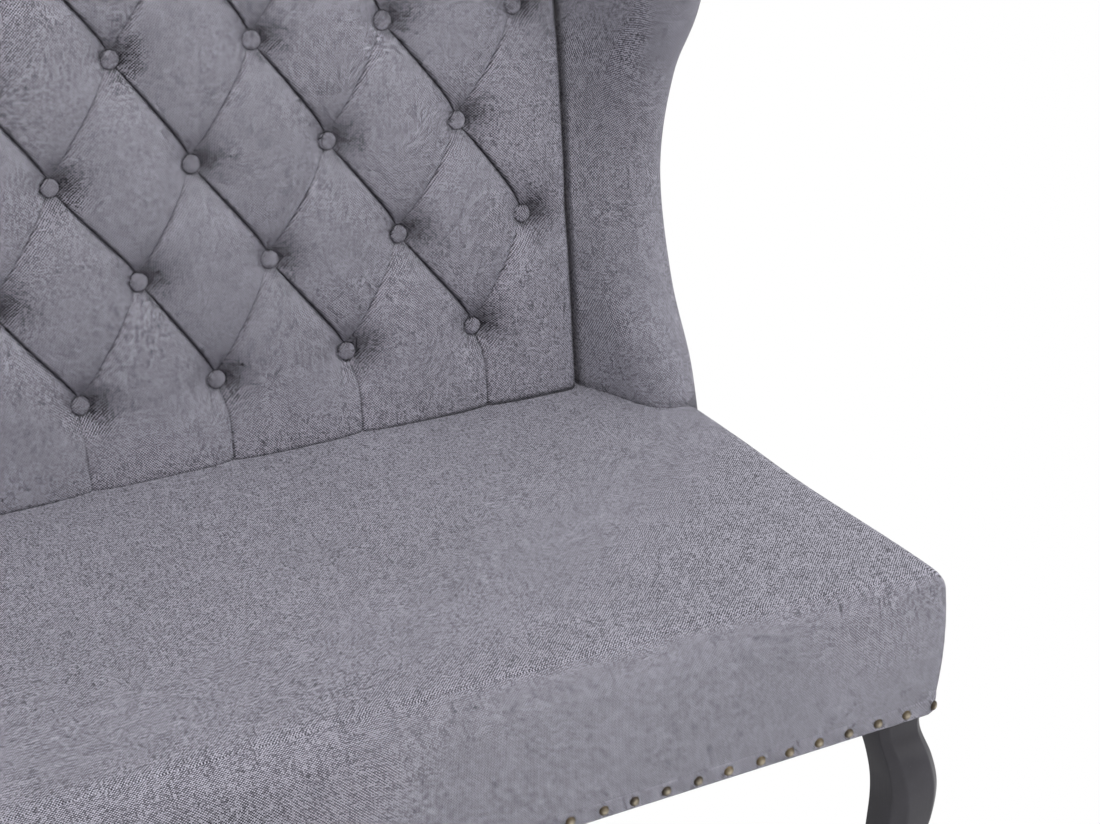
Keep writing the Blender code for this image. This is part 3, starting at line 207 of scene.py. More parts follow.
def node(tree, kind, **inputs):
    """Adds a node; an input is a value or another node's output socket."""
    made = tree.nodes.new(kind)
    for name, value in inputs.items():
        key = int(name[1:]) if name[0] == "i" and name[1:].isdigit() else name.replace("_", " ")
        socket = made.inputs[key]
        if isinstance(value, bpy.types.NodeSocket):
            tree.links.new(value, socket)
        else:
            socket.default_value = value
    return made


def calc(tree, operation, a, b=0.0):
    made = node(tree, "ShaderNodeMath", i0=a, i1=b)
    made.operation = operation
    return made.outputs[0]


def mix_colour(tree, factor, a, b, blend="MIX"):
    made = tree.nodes.new("ShaderNodeMix")
    made.data_type = "RGBA"
    made.blend_type = blend
    for key, value in ((0, factor), (6, a), (7, b)):
        if isinstance(value, bpy.types.NodeSocket):
            tree.links.new(value, made.inputs[key])
        else:
            made.inputs[key].default_value = value
    return made.outputs[2]


def noise_of(tree, vector, scale, detail=2.0, roughness=0.5):
    made = node(tree, "ShaderNodeTexNoise", Vector=vector, Scale=scale, Detail=detail,
                Roughness=roughness)
    return made.outputs["Fac"]


def remap(tree, value, low, high, to_low=0.0, to_high=1.0):
    made = node(tree, "ShaderNodeMapRange", Value=value)
    made.inputs["From Min"].default_value = low
    made.inputs["From Max"].default_value = high
    made.inputs["To Min"].default_value = to_low
    made.inputs["To Max"].default_value = to_high
    return made.outputs["Result"]


def stretched(tree, vector, scale):
    made = node(tree, "ShaderNodeVectorMath", i0=vector, i1=scale)
    made.operation = "MULTIPLY"
    return made.outputs[0]


def bump(tree, height, distance, strength=1.0):
    made = node(tree, "ShaderNodeBump", Height=height, Distance=distance, Strength=strength)
    return made.outputs["Normal"]


def finish(tree, shader, colour, roughness, relief=None, distance=0.0):
    """Gives a material its colour, its roughness and, where it has one, its relief."""
    for name, value in (("Base Color", colour), ("Roughness", roughness)):
        if isinstance(value, bpy.types.NodeSocket):
            tree.links.new(value, shader.inputs[name])
        else:
            shader.inputs[name].default_value = value
    if relief is not None:
        tree.links.new(bump(tree, relief, distance), shader.inputs["Normal"])


def thread_tone(tree, threads, scale):
    """A tone for each stretch of one thread, from the cells of a scaled grid."""
    grid = node(tree, "ShaderNodeVectorMath", i0=stretched(tree, threads, scale))
    grid.operation = "FLOOR"
    return node(tree, "ShaderNodeTexWhiteNoise", Vector=grid.outputs[0]).outputs["Value"]


def yarn_tone(tree, threads, cell, slub):
    """Tone of one set of yarns: short flecks over longer slubs."""
    flecks = calc(tree, "MULTIPLY", thread_tone(tree, threads, cell), 0.68)
    slubs = remap(tree, noise_of(tree, stretched(tree, threads, slub), 1.0, 2.0), 0.3, 0.7)
    return calc(tree, "ADD", flecks, calc(tree, "MULTIPLY", slubs, 0.32))


def cloth_material(name, light, dark, tone=1.0):
    """Plain weave of light and dark flecked yarns, heathered and slubbed. It reads
    the UV map, whose units are metres along the two threads."""
    material, tree, shader = new_material(name)
    uv = tree.nodes.new("ShaderNodeUVMap").outputs[0]
    wander = noise_of(tree, stretched(tree, uv, (35, 35, 35)), 1.0, 2.0)
    moved = node(tree, "ShaderNodeVectorMath", i0=uv,
                 i1=stretched(tree, node(tree, "ShaderNodeCombineXYZ", X=wander, Y=wander)
                              .outputs[0], (0.0022, -0.0022, 0.0)))
    threads = stretched(tree, moved.outputs[0], (1 / THREAD, 1 / THREAD, 1.0))
    split = node(tree, "ShaderNodeSeparateXYZ", Vector=threads)
    across, along = split.outputs[0], split.outputs[1]
    warp = calc(tree, "ABSOLUTE", calc(tree, "SINE", calc(tree, "MULTIPLY", across, math.pi)))
    weft = calc(tree, "ABSOLUTE", calc(tree, "SINE", calc(tree, "MULTIPLY", along, math.pi)))
    over = node(tree, "ShaderNodeTexChecker", Vector=threads, Scale=1.0).outputs["Fac"]
    height = node(tree, "ShaderNodeMix", Factor=over, A=weft, B=warp).outputs[0]
    warp_tone = yarn_tone(tree, threads, (1.0, 0.5, 1.0), (0.8, 0.05, 1.0))
    weft_tone = yarn_tone(tree, threads, (0.5, 1.0, 1.0), (0.05, 0.8, 1.0))
    crossing = thread_tone(tree, threads, (1.0, 1.0, 1.0))
    both = node(tree, "ShaderNodeMix", Factor=over, A=weft_tone, B=warp_tone).outputs[0]
    flecked = calc(tree, "ADD", calc(tree, "MULTIPLY", both, 0.80),
                   calc(tree, "MULTIPLY", crossing, 0.20))
    lift = remap(tree, over, 0.0, 1.0, -0.26, 0.26)
    shade = remap(tree, calc(tree, "ADD", flecked, lift), 0.21, 0.79)
    woven = mix_colour(tree, shade, (*dark, 1), (*light, 1))
    gap = remap(tree, height, 0.0, 0.6, 0.45, 1.0)
    shaded = mix_colour(tree, 1.0, woven, gap, "MULTIPLY")
    wear = remap(tree, noise_of(tree, stretched(tree, uv, (6, 6, 6)), 1.0, 3.0), 0.3, 0.7,
                 0.95 * tone, 1.05 * tone)
    # Painted shade: the "crease" attribute darkens the cloth where shade falls, in creases, pits, gaps
    # and joins, down to 0.16 of its colour.
    crease = tree.nodes.new("ShaderNodeAttribute")
    crease.attribute_name = "crease"
    painted_shade = remap(tree, crease.outputs["Fac"], 0.0, 1.0, 1.0, 0.16)
    seen = mix_colour(tree, 1.0, shaded, calc(tree, "MULTIPLY", wear, painted_shade), "MULTIPLY")
    finish(tree, shader, seen, 0.9, height, 0.0003)
    shader.inputs["Sheen Weight"].default_value = 0.06
    shader.inputs["Sheen Roughness"].default_value = 0.5
    shader.inputs["Specular IOR Level"].default_value = 0.2
    return material


def position(tree):
    return tree.nodes.new("ShaderNodeTexCoord").outputs["Object"]


def lacquer_material(name):
    """Black satin lacquer over wood, with faint grain and some dust."""
    material, tree, shader = new_material(name)
    place_at = position(tree)
    grain = noise_of(tree, stretched(tree, place_at, (260, 260, 9)), 1.0, 3.0)
    cloudy = noise_of(tree, place_at, 22.0, 3.0)
    colour = mix_colour(tree, remap(tree, cloudy, 0.35, 0.7), (0.027, 0.025, 0.032, 1),
                        (0.041, 0.038, 0.048, 1))
    specks = remap(tree, noise_of(tree, place_at, 900.0, 1.0), 0.72, 0.80)
    dusty = mix_colour(tree, specks, colour, (0.11, 0.11, 0.11, 1))
    finish(tree, shader, dusty, remap(tree, cloudy, 0.3, 0.7, 0.34, 0.46), grain, 0.00012)
    return material


def beech_material(name):
    material, tree, shader = new_material(name)
    place_at = position(tree)
    grain = noise_of(tree, stretched(tree, place_at, (12, 160, 160)), 1.0, 4.0)
    flecks = remap(tree, noise_of(tree, stretched(tree, place_at, (90, 900, 900)), 1.0), 0.6, 0.7)
    colour = mix_colour(tree, remap(tree, grain, 0.3, 0.7), (0.46, 0.29, 0.15, 1),
                        (0.62, 0.43, 0.25, 1))
    flecked = mix_colour(tree, flecks, colour, (0.36, 0.21, 0.11, 1))
    finish(tree, shader, flecked, 0.62, grain, 0.0003)
    return material


def webbing_material(name):
    material, tree, shader = new_material(name)
    threads = stretched(tree, position(tree), (420, 420, 420))
    over = node(tree, "ShaderNodeTexChecker", Vector=threads, Scale=1.0).outputs["Fac"]
    colour = mix_colour(tree, over, (0.42, 0.30, 0.16, 1), (0.56, 0.43, 0.25, 1))
    finish(tree, shader, colour, 0.9, over, 0.0004)
    return material


def foam_material(name):
    material, tree, shader = new_material(name)
    cells = node(tree, "ShaderNodeTexVoronoi", Vector=position(tree), Scale=420.0)
    colour = mix_colour(tree, remap(tree, cells.outputs["Distance"], 0.0, 0.8),
                        (0.62, 0.55, 0.38, 1), (0.84, 0.79, 0.62, 1))
    finish(tree, shader, colour, 0.95, cells.outputs["Distance"], 0.0008)
    return material


def brass_material(name):
    """Antiqued brass: each nail has its own tone, and a painted highlight lies on each crown, broken up
    by the patina.
    """
    material, tree, shader = new_material(name)
    tone = node(tree, "ShaderNodeAttribute")
    tone.attribute_name = "nail_tone"
    highlight_mask = node(tree, "ShaderNodeAttribute")
    highlight_mask.attribute_name = "nail_painted_highlight"
    patina = noise_of(tree, position(tree), 420.0, 3.0)
    # Painted highlight: each dome's crown is lightened towards pale brass.
    highlight_share = calc(tree, "MULTIPLY", highlight_mask.outputs["Fac"], remap(tree, patina, 0.35, 0.65, 0.4, 1.0))
    # Each nail's own antique tone, kept dark to stand in for the dark reflections at the rims.
    base = mix_colour(tree, tone.outputs["Fac"], (0.050, 0.041, 0.036, 1), (0.17, 0.13, 0.08, 1))
    colour = mix_colour(tree, highlight_share, base, (0.62, 0.55, 0.42, 1))
    shader.inputs["Metallic"].default_value = 1.0
    finish(tree, shader, colour, remap(tree, patina, 0.3, 0.7, 0.26, 0.46), patina, 0.00012)
    return material


def steel_material(name):
    material, tree, shader = new_material(name)
    spangle = noise_of(tree, position(tree), 300.0, 2.0)
    colour = mix_colour(tree, spangle, (0.46, 0.47, 0.49, 1), (0.66, 0.67, 0.69, 1))
    shader.inputs["Metallic"].default_value = 1.0
    finish(tree, shader, colour, remap(tree, spangle, 0.3, 0.7, 0.28, 0.42))
    return material


def nylon_material(name):
    material, tree, shader = new_material(name)
    scuffs = noise_of(tree, position(tree), 500.0, 3.0)
    colour = mix_colour(tree, scuffs, (0.012, 0.012, 0.012, 1), (0.040, 0.040, 0.040, 1))
    finish(tree, shader, colour, remap(tree, scuffs, 0.3, 0.7, 0.42, 0.60))
    return material


def cambric_material(name):
    """Black non-woven cloth with its embossed dots."""
    material, tree, shader = new_material(name)
    place_at = position(tree)
    dots = node(tree, "ShaderNodeTexVoronoi", Vector=place_at, Scale=380.0)
    cloudy = noise_of(tree, place_at, 30.0, 4.0)
    colour = mix_colour(tree, cloudy, (0.012, 0.012, 0.014, 1), (0.034, 0.034, 0.037, 1))
    finish(tree, shader, colour, 0.92, dots.outputs["Distance"], 0.0005)
    return material


LIGHT_THREAD = (0.605, 0.590, 0.685)
DARK_THREAD = (0.017, 0.016, 0.023)
CLOTH = cloth_material("heathered_cloth", LIGHT_THREAD, DARK_THREAD)
BUTTON_CLOTH = cloth_material("button_cloth", LIGHT_THREAD, DARK_THREAD, 0.9)
LACQUER = lacquer_material("black_satin_lacquer")
BRASS = brass_material("antique_brass")
BEECH = beech_material("beech")
JUTE = webbing_material("jute_webbing")
FOAM = foam_material("foam")
STEEL = steel_material("zinc_steel")
NYLON = nylon_material("black_nylon")
CAMBRIC = cambric_material("black_cambric")


# Helpers for pieces

def add_piece(name, mesh, material, replaces=(), smooth_angle=None):
    """Puts a mesh into the scene as one piece that rides on the settee."""
    mesh.materials.append(material)
    mesh.shade_smooth()
    if smooth_angle is not None:
        mesh.set_sharp_from_angle(angle=math.radians(smooth_angle))
    obj = bpy.data.objects.new(name, mesh)
    obj.location = (0.0, FRONT_Y, 0.0)
    bpy.context.collection.objects.link(obj)
    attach(obj, "root")
    for cad_node in replaces:
        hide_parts(cad_node)
    return obj


def mesh_of(name, points, faces, uvs=None):
    """A mesh of points and faces; uvs has one pair for each point."""
    mesh = bpy.data.meshes.new(name)
    mesh.from_pydata([tuple(p) for p in points], [], faces)
    mesh.validate()
    if uvs is not None:
        layer = mesh.uv_layers.new(name="cloth")
        order = np.empty(len(mesh.loops), dtype=np.int32)
        mesh.loops.foreach_get("vertex_index", order)
        layer.data.foreach_set("uv", np.asarray(uvs, dtype=np.float32)[order].ravel())
    return mesh


def grid_faces(rows, columns, closed=False):
    """Faces of a grid stored row by row; closed joins its last column to its first."""
    faces = []
    for j in range(rows - 1):
        for i in range(columns if closed else columns - 1):
            k = (i + 1) % columns
            faces.append((j * columns + i, j * columns + k,
                          (j + 1) * columns + k, (j + 1) * columns + i))
    return faces


def smoothstep(value):
    value = np.clip(value, 0.0, 1.0)
    return value * value * (3 - 2 * value)


def spline(knots, steps):
    """A smooth line through knots, with so many steps between two of them."""
    padded = [2 * knots[0] - knots[1], *knots, 2 * knots[-1] - knots[-2]]
    points = []
    for k in range(1, len(padded) - 2):
        a, b, c, d = padded[k - 1:k + 3]
        for i in range(steps):
            t = i / steps
            points.append(0.5 * (2 * b + (c - a) * t + (2 * a - 5 * b + 4 * c - d) * t ** 2
                                 + (3 * b - a - 3 * c + d) * t ** 3))
    points.append(knots[-1])
    return points


# Seat

def seat_top(x, y):
    """Height of the seat's crown surface, before its edges roll over."""
    across = (x / HALF) ** 2
    along = (max(0.0, y - SEAT_MIDDLE_Y) / SEAT_MIDDLE_Y) ** 2
    return SEAT_CROWN - SEAT_FALL_X * across - SEAT_FALL_Y * along


def rounded_rectangle(low, high, radius, steps_x, steps_y, steps_corner):
    """Points of a rectangle with round corners, anticlockwise from its front."""
    points = []
    corners = (
        (high[0] - radius, low[1] + radius, -90.0), (high[0] - radius, high[1] - radius, 0.0),
        (low[0] + radius, high[1] - radius, 90.0), (low[0] + radius, low[1] + radius, 180.0),
    )
    for number, (x, y, start) in enumerate(corners):
        arc = []
        for i in range(steps_corner + 1):
            angle = math.radians(start + 90.0 * i / steps_corner)
            arc.append((x + radius * math.cos(angle), y + radius * math.sin(angle)))
        points.extend(arc)
        nx, ny, following = corners[(number + 1) % 4]
        angle = math.radians(following)
        end = (nx + radius * math.cos(angle), ny + radius * math.sin(angle))
        steps = steps_y if number % 2 == 0 else steps_x
        for i in range(1, steps):
            share = i / steps
            points.append((arc[-1][0] + (end[0] - arc[-1][0]) * share,
                           arc[-1][1] + (end[1] - arc[-1][1]) * share))
    return points


def edge_roll(from_corner):
    """Radius of the seat's edge at a distance from its front corner."""
    grown = smoothstep(from_corner / SEAT_ROLL_RUN)
    return SEAT_CORNER_ROLL + (SEAT_ROLL - SEAT_CORNER_ROLL) * grown


def seat_ring(over, drop, flat):
    """One ring of the seat's skin, as in the CAD but with many more points."""
    base = SEAT_CORNER_ROLL * over + flat
    low = (-HALF + base, base)
    high = (HALF - base, SEAT_LENGTH - SEAT_BACK_ROLL * over - flat)
    ring = []
    for x, y in rounded_rectangle(low, high, SEAT_CORNER + 0.25 * base, 90, 44, 8):
        at_front = edge_roll(HALF - abs(x))
        at_side = edge_roll(y)
        radius = max(at_front, at_side)
        to_back = smoothstep((y - SEAT_LENGTH + 2 * SEAT_ROLL) / SEAT_ROLL)
        radius += (SEAT_BACK_ROLL - radius) * to_back
        in_x = 1 - (at_side - SEAT_CORNER_ROLL) * over / HALF
        in_y = (at_front - SEAT_CORNER_ROLL) * over * (1 - y / SEAT_LENGTH)
        x *= in_x
        y += in_y
        ring.append(Vector((x, y, seat_top(x, y) - radius * drop)))
    return ring


def seat():
    """The upholstered seat: cloth pulled over the front and the sides."""
    rings = []
    low_z = LEG_HEIGHT + 0.0008
    for share in (0.0, 0.004, 0.02, 0.12, 0.25, 0.4, 0.55, 0.7, 0.85, 1.0):
        ring = seat_ring(0.0, 1.0, 0.0)
        inset = 0.0025 * (1 - smoothstep(share / 0.02))
        for p in ring:
            p.z = low_z + (p.z - low_z) * share
            p.x -= math.copysign(inset, p.x)
            p.y += inset if p.y < SEAT_MIDDLE_Y else -inset
        rings.append(ring)
    for i in range(1, 15):
        turn = math.radians(90 * i / 14)
        rings.append(seat_ring(1 - math.cos(turn), 1 - math.sin(turn), 0.0))
    for i in range(1, 12):
        rings.append(seat_ring(1.0, 0.0, 0.016 * i))
    middle = Vector((0.0, SEAT_MIDDLE_Y, 0.0))
    innermost = rings[-1]
    for share in SEAT_SHRINK:
        ring = [middle + (p - middle) * share for p in innermost]
        for p in ring:
            p.z = seat_top(p.x, p.y)
        rings.append(ring)
    count = len(rings[0])
    flat = len(rings)
    points = [p for ring in rings for p in ring]
    faces = grid_faces(flat, count, closed=True)
    faces.append(tuple(range((flat - 1) * count, flat * count)))
    uvs_from = [p.copy() for p in points]
    for p in points:
        swell(p)
        p.z += seat_ripple(p)
    mesh = mesh_of("seat_cushion", points, faces)
    seat_uvs(mesh, uvs_from)
    piece = add_piece("seat_upholstery", mesh, CLOTH, ["seat_cover"])
    return piece


def swell(p):
    """Pushes the front and the sides out where the stuffing presses on the cloth."""
    share = (p.z - LEG_HEIGHT) / (SEAT_CROWN - LEG_HEIGHT)
    out = SEAT_BULGE * math.sin(math.pi * min(1.0, max(0.0, share)))
    out *= 1 - smoothstep((p.y - 0.34) / 0.12)
    at_side = smoothstep((abs(p.x) - HALF + 0.10) / 0.10)
    at_front = smoothstep((0.10 - p.y) / 0.10)
    p.x += math.copysign(out * at_side, p.x)
    p.y -= 0.6 * out * at_front


def seat_ripple(p):
    """Slight unevenness of the stuffing."""
    inside = smoothstep((p.z - SEAT_CROWN + 0.03) / 0.02)
    wave = math.sin(9.0 * p.x + 1.3) * math.sin(11.0 * p.y + 0.4)
    wave += 0.5 * math.sin(23.0 * p.x + 15.0 * p.y)
    return 0.0007 * wave * inside


def seat_uvs(mesh, places):
    """Unrolls the cloth down the front, the sides and the back from the top."""
    layer = mesh.uv_layers.new(name="cloth")
    flat_z = SEAT_CROWN - SEAT_FALL_X - SEAT_FALL_Y - 0.002
    for face in mesh.polygons:
        normal = face.normal
        centre = face.center
        side = abs(centre.x) - HALF
        front = -centre.y
        back = centre.y - SEAT_LENGTH
        on_top = normal.z > 0.95
        for loop in face.loop_indices:
            p = places[mesh.loops[loop].vertex_index]
            if on_top:
                uv = (p.x, p.y)
            elif front >= max(side, back):
                uv = (p.x, min(p.y, SEAT_ROLL) - (flat_z - p.z))
            elif back > side:
                uv = (p.x, p.y + flat_z - p.z)
            else:
                uv = (p.x + math.copysign(flat_z - p.z, p.x), p.y)
            layer.data[loop].uv = uv


# Nail trim

def band_path(offset):
    """Plan line round the seat's right side, front and left side."""
    radius = SEAT_CORNER + offset
    x1 = HALF + offset
    back_y = SEAT_LENGTH - SEAT_CORNER
    points = [(x1, back_y)]
    for first, sign in ((0.0, 1), (-90.0, -1)):
        for i in range(9):
            angle = math.radians(first - 11.25 * i)
            points.append((sign * (x1 - radius) + radius * math.cos(angle),
                           -offset + radius + radius * math.sin(angle)))
    points.append((-x1, back_y))
    return [Vector(p) for p in points]


def walk(points, spacing, start=0.0):
    """Points at equal steps along a line, with the line's outward normal."""
    found = []
    wanted = start
    done = 0.0
    for a, b in zip(points, points[1:]):
        step = b - a
        along = step.normalized()
        while wanted <= done + step.length:
            found.append((a + along * (wanted - done), Vector((-along.y, along.x)), wanted))
            wanted += spacing
        done += step.length
    return found, done


def trim_band():
    """The strip of cloth folded along the lower edge under the nails."""
    path = band_path(0.0003)
    stations, _ = walk(path, BAND_STEP)
    profile = [(0.0, 0.0), (BAND, 0.0003), (1.15 * BAND, 0.002)]
    profile += [(BAND, BAND_HEIGHT - 0.006), (0.9 * BAND, BAND_HEIGHT - 0.0022),
                (0.7 * BAND, BAND_HEIGHT - 0.0006), (-0.001, BAND_HEIGHT)]
    points = []
    uvs = []
    for at, outward, along in stations:
        for depth, rise in profile:
            p = Vector((at.x + outward.x * depth, at.y + outward.y * depth, LEG_HEIGHT + rise))
            swell(p)
            points.append(p)
            uvs.append((along, rise + depth))
    mesh = mesh_of("trim_band", points, grid_faces(len(stations), len(profile)), uvs)
    return add_piece("trim_band", mesh, CLOTH, ["nail_band"])


def nails():
    """Dome-headed nails, each turned and toned a little differently."""
    rng = random.Random(7)
    path = band_path(0.0003 + 1.15 * BAND)
    length = sum((b - a).length for a, b in zip(path, path[1:]))
    count = 2 * int((length - NAIL_PITCH) / (2 * NAIL_PITCH))
    first = (length - (count - 1) * NAIL_PITCH) / 2
    stations, _ = walk(path, NAIL_PITCH, first)
    bm = bmesh.new()
    tone = bm.verts.layers.float.new("nail_tone")
    crown = bm.verts.layers.float.new("nail_painted_highlight")
    for at, outward, _ in stations[:count]:
        out = Vector((outward.x, outward.y, 0.0))
        across = Vector((-outward.y, outward.x, 0.0))
        centre = Vector((at.x, at.y, LEG_HEIGHT + NAIL_RISE))
        swell(centre)
        centre += across * rng.uniform(-0.0010, 0.0010) + Vector((0, 0, rng.uniform(-.0004, .0004)))
        tilt = across * rng.uniform(-0.10, 0.10) + Vector((0, 0, rng.uniform(-0.10, 0.10)))
        own_tone = rng.random()
        rings = []
        levels = [(1.0, -0.12), (1.03, 0.02), (1.0, 0.10)]
        levels += [(math.cos(math.radians(a)), math.sin(math.radians(a))) for a in (18, 34, 50, 66, 80)]
        for width, height in levels:
            ring = []
            for i in range(NAIL_SIDES):
                angle = math.tau * i / NAIL_SIDES
                flat = across * math.cos(angle) + Vector((0, 0, 1)) * math.sin(angle)
                lean = tilt.dot(flat) * NAIL_RADIUS * width * 0.3
                v = bm.verts.new(centre + flat * NAIL_RADIUS * width
                                 + out * (NAIL_HEIGHT * height + lean))
                v[tone] = own_tone
                # Share of the painted highlight, strongest at the top of the dome.
                v[crown] = max(0.0, height) ** 5
                ring.append(v)
            rings.append(ring)
        for low, high in zip(rings, rings[1:]):
            for i in range(NAIL_SIDES):
                k = (i + 1) % NAIL_SIDES
                bm.faces.new((low[i], low[k], high[k], high[i]))
        bm.faces.new(rings[-1])
    bmesh.ops.recalc_face_normals(bm, faces=bm.faces)
    mesh = bpy.data.meshes.new("nail_heads")
    bm.to_mesh(mesh)
    bm.free()
    return add_piece("nail_heads", mesh, BRASS)


# Buttoned back

def slope(s, w):
    """Point on the back's slope: s up the crown plane, w into the padding."""
    return SEAT_DEPTH + s * SIN + w * COS, SEAT_DEPTH_Z + s * COS - w * SIN


def crown_y(z):
    return SEAT_DEPTH + (z - SEAT_DEPTH_Z) * TAN


def back_surface(v, w):
    """As slope, but v starts at the first row of buttons and goes over the top."""
    s = FIRST_ROW_S + np.minimum(v, ROLL_V)
    angle = np.maximum(0.0, v - ROLL_V) / ROLL
    radius = ROLL - w
    s = s + radius * np.sin(angle)
    depth = ROLL - radius * np.cos(angle)
    return slope(s, depth)


SEAT_V = (SEAT_CROWN - SEAT_FALL_Y - SEAT_DEPTH_Z) / COS - FIRST_ROW_S
END_V = ROLL_V + math.pi * ROLL


def button_places():
    places = []
    for j in range(LAST_ROW + 1):
        for i in range(-LAST_COLUMN, LAST_COLUMN + 1):
            if (i + j) % 2 == 1:
                places.append((i, j))
    return places


def place_of(i, j):
    """Where a button really sits, as (u, v)."""
    du, dv = NUDGES.get((i, j), (3.0 * math.sin(5.1 * i + 2.3 * j), 2.5 * math.sin(3.7 * i - 1.9 * j)))
    return np.array((i * HALF_PITCH + NUDGE * du, j * ROW_PITCH + NUDGE * dv))


def bezier(a, b, c, d, count):
    points = []
    for k in range(count + 1):
        t = k / count
        s = 1 - t
        points.append(a * s ** 3 + b * 3 * s * s * t + c * 3 * s * t * t + d * t ** 3)
    return points


def folds():
    """Every fold as (points, depth at its start, middle and end, pleat side).
    Diagonal folds leave a button sideways and arrive on top of the one below."""
    places = set(button_places())
    made = []
    for i, j in sorted(places):
        here = place_of(i, j)
        for step in (-1, 1):
            if (i + step, j - 1) in places:
                below = place_of(i + step, j - 1)
                top = below + np.array((0.0, 0.7 * BUTTON_RADIUS))
                points = bezier(here, here + np.array((step * 0.030, -0.047)),
                                below + np.array((-step * 0.010, 0.028)), top, 60)
                made.append((points, 0.016, FOLD_DEPTH, 0.019, 1.0 if step > 0 else -0.30))
        lean = 0.004 if i > 0 else -0.004
        if j == 0:
            end = np.array((here[0] + lean, SEAT_V - 0.02))
            points = bezier(here, here + np.array((2.2 * lean, -0.030)),
                            end + np.array((0.0, 0.040)), end, 40)
            made.append((points, 0.016, 0.0062, 0.0050, 0.55 if i > 0 else -0.55))
            for turn, reach in ((-0.012, 0.034), (0.014, 0.028)):
                end = here + np.array((turn, -reach))
                points = bezier(here + np.array((0.3 * turn, -0.004)),
                                here + np.array((0.9 * turn, -0.012)),
                                end + np.array((0.0, 0.010)), end, 16)
                made.append((points, 0.014, 0.0050, 0.0010, math.copysign(0.6, turn)))
        if j == LAST_ROW:
            end = np.array((here[0], END_V - 0.01))
            points = bezier(here, here + np.array((lean, 0.030)), end - np.array((0.0, 0.060)),
                            end, 70)
            made.append((points, 0.016, 0.0060, 0.0, 0.35 * (1 if i > 0 else -1)))
        if abs(i) == LAST_COLUMN:
            side = math.copysign(1, i)
            end = np.array((side * INSIDE_HALF, here[1] + 0.004))
            points = bezier(here, here + np.array((side * 0.015, 0.0)),
                            end - np.array((side * 0.015, 0.0)), end, 24)
            made.append((points, 0.014, 0.0032, 0.0010, 0.0))
    return made


def tuft_depth(uv, lines):
    """Depth of the cover under the crown surface at many (u, v) points, and how much
    painted shade the cloth there gets."""
    total = np.zeros(len(uv))
    detail = np.zeros(len(uv))
    dark = np.zeros(len(uv))
    for points, start, middle, end, side in lines:
        line = np.array(points)
        low = line.min(0) - FOLD_REACH
        high = line.max(0) + FOLD_REACH
        near = np.where(((uv > low) & (uv < high)).all(1))[0]
        offset = uv[near, None, :] - line[None, :, :]
        squared = (offset ** 2).sum(2)
        best = squared.argmin(1)
        distance = np.sqrt(squared[np.arange(len(near)), best])
        t = best / (len(line) - 1)
        tangent = np.gradient(line, axis=0)
        tangent /= np.linalg.norm(tangent, axis=1)[:, None]
        along = tangent[best]
        away = offset[np.arange(len(near)), best]
        cross = along[:, 0] * away[:, 1] - along[:, 1] * away[:, 0]
        ends = np.where(t < 0.5, start, end)
        rise = np.abs(2 * t - 1) ** 3.0
        groove = middle + (ends - middle) * rise
        fade = np.clip(1 - distance / FOLD_REACH, 0.0, 1.0)
        total[near] += (groove * fade ** 2.6) ** 4
        at_ends = smoothstep(np.minimum(t, 1 - t) / 0.06)
        strength = groove / FOLD_DEPTH * at_ends
        crease = np.exp(-(distance / CREASE_WIDTH) ** 2) * FOLD_CREASE
        crease *= 0.35 + 0.65 * min(1.0, abs(side))
        lap = np.sign(cross * side) * np.exp(-distance / LAP_REACH) * FOLD_STEP
        lap *= min(1.0, abs(side)) * np.clip(np.abs(cross) / LAP_BLEND, 0.0, 1.0)
        detail[near] += (crease - lap) * np.clip(strength, 0.0, 1.1)
        # Painted shade: a thin dark line along the middle of each pleat's crease, faded out at its
        # ends.
        painted_line_shade = np.exp(-(distance / CREASE_SHADE) ** 2) * smoothstep(t / 0.05)
        painted_line_shade *= smoothstep((1 - t) / 0.05) * min(1.0, 1.3 * abs(side)) * np.clip(strength, 0, 1)
        dark[near] = np.maximum(dark[near], painted_line_shade)
    depth = total ** 0.25 + detail
    for i, j in button_places():
        away = uv - place_of(i, j)
        distance = np.sqrt((away ** 2).sum(1))
        past = np.maximum(0.0, distance - BUTTON_RADIUS)
        # Painted shade: darker right of and a little above each button, where the pit's wall faces away
        # from the light, with a dark ring at the button's rim.
        turned_away = 0.5 + 0.5 * (away[:, 0] + 0.25 * away[:, 1]) / np.maximum(distance, 1e-5)
        shade = 0.88 * np.exp(-(past / PIT_SHADE) ** 1.3) * np.clip(turned_away, 0.0, 1.0) ** 1.5
        dark = np.maximum(dark, np.maximum(shade, np.exp(-(past / RIM_SHADE) ** 2)))
        pit = np.exp(-(np.maximum(0.0, distance - PIT_FLOOR) / PIT_REACH) ** 1.15)
        depth += np.maximum(0.0, TUFT_DEPTH + 0.001 - depth) * pit
    side = np.clip((np.abs(uv[:, 0]) - INSIDE_HALF + EDGE_ROUND) / EDGE_ROUND, 0.0, 1.0)
    depth += EDGE_DROP * (1 - np.sqrt(1 - side ** 2 + 1e-9))
    foot = np.clip((SEAT_V + 0.016 - uv[:, 1]) / FOOT_ROUND, 0.0, 1.0)
    # Painted shade along the cover's edges beside the wings, where it goes into the gaps, and along its
    # foot where it meets the seat.
    dark = np.maximum(dark, smoothstep((np.abs(uv[:, 0]) - INSIDE_HALF + 0.007) / 0.006))
    dark = np.maximum(dark, 0.9 * smoothstep((SEAT_V + 0.007 - uv[:, 1]) / 0.005))
    return np.maximum(depth, 0.0) + FOOT_DROP * foot ** 2, dark


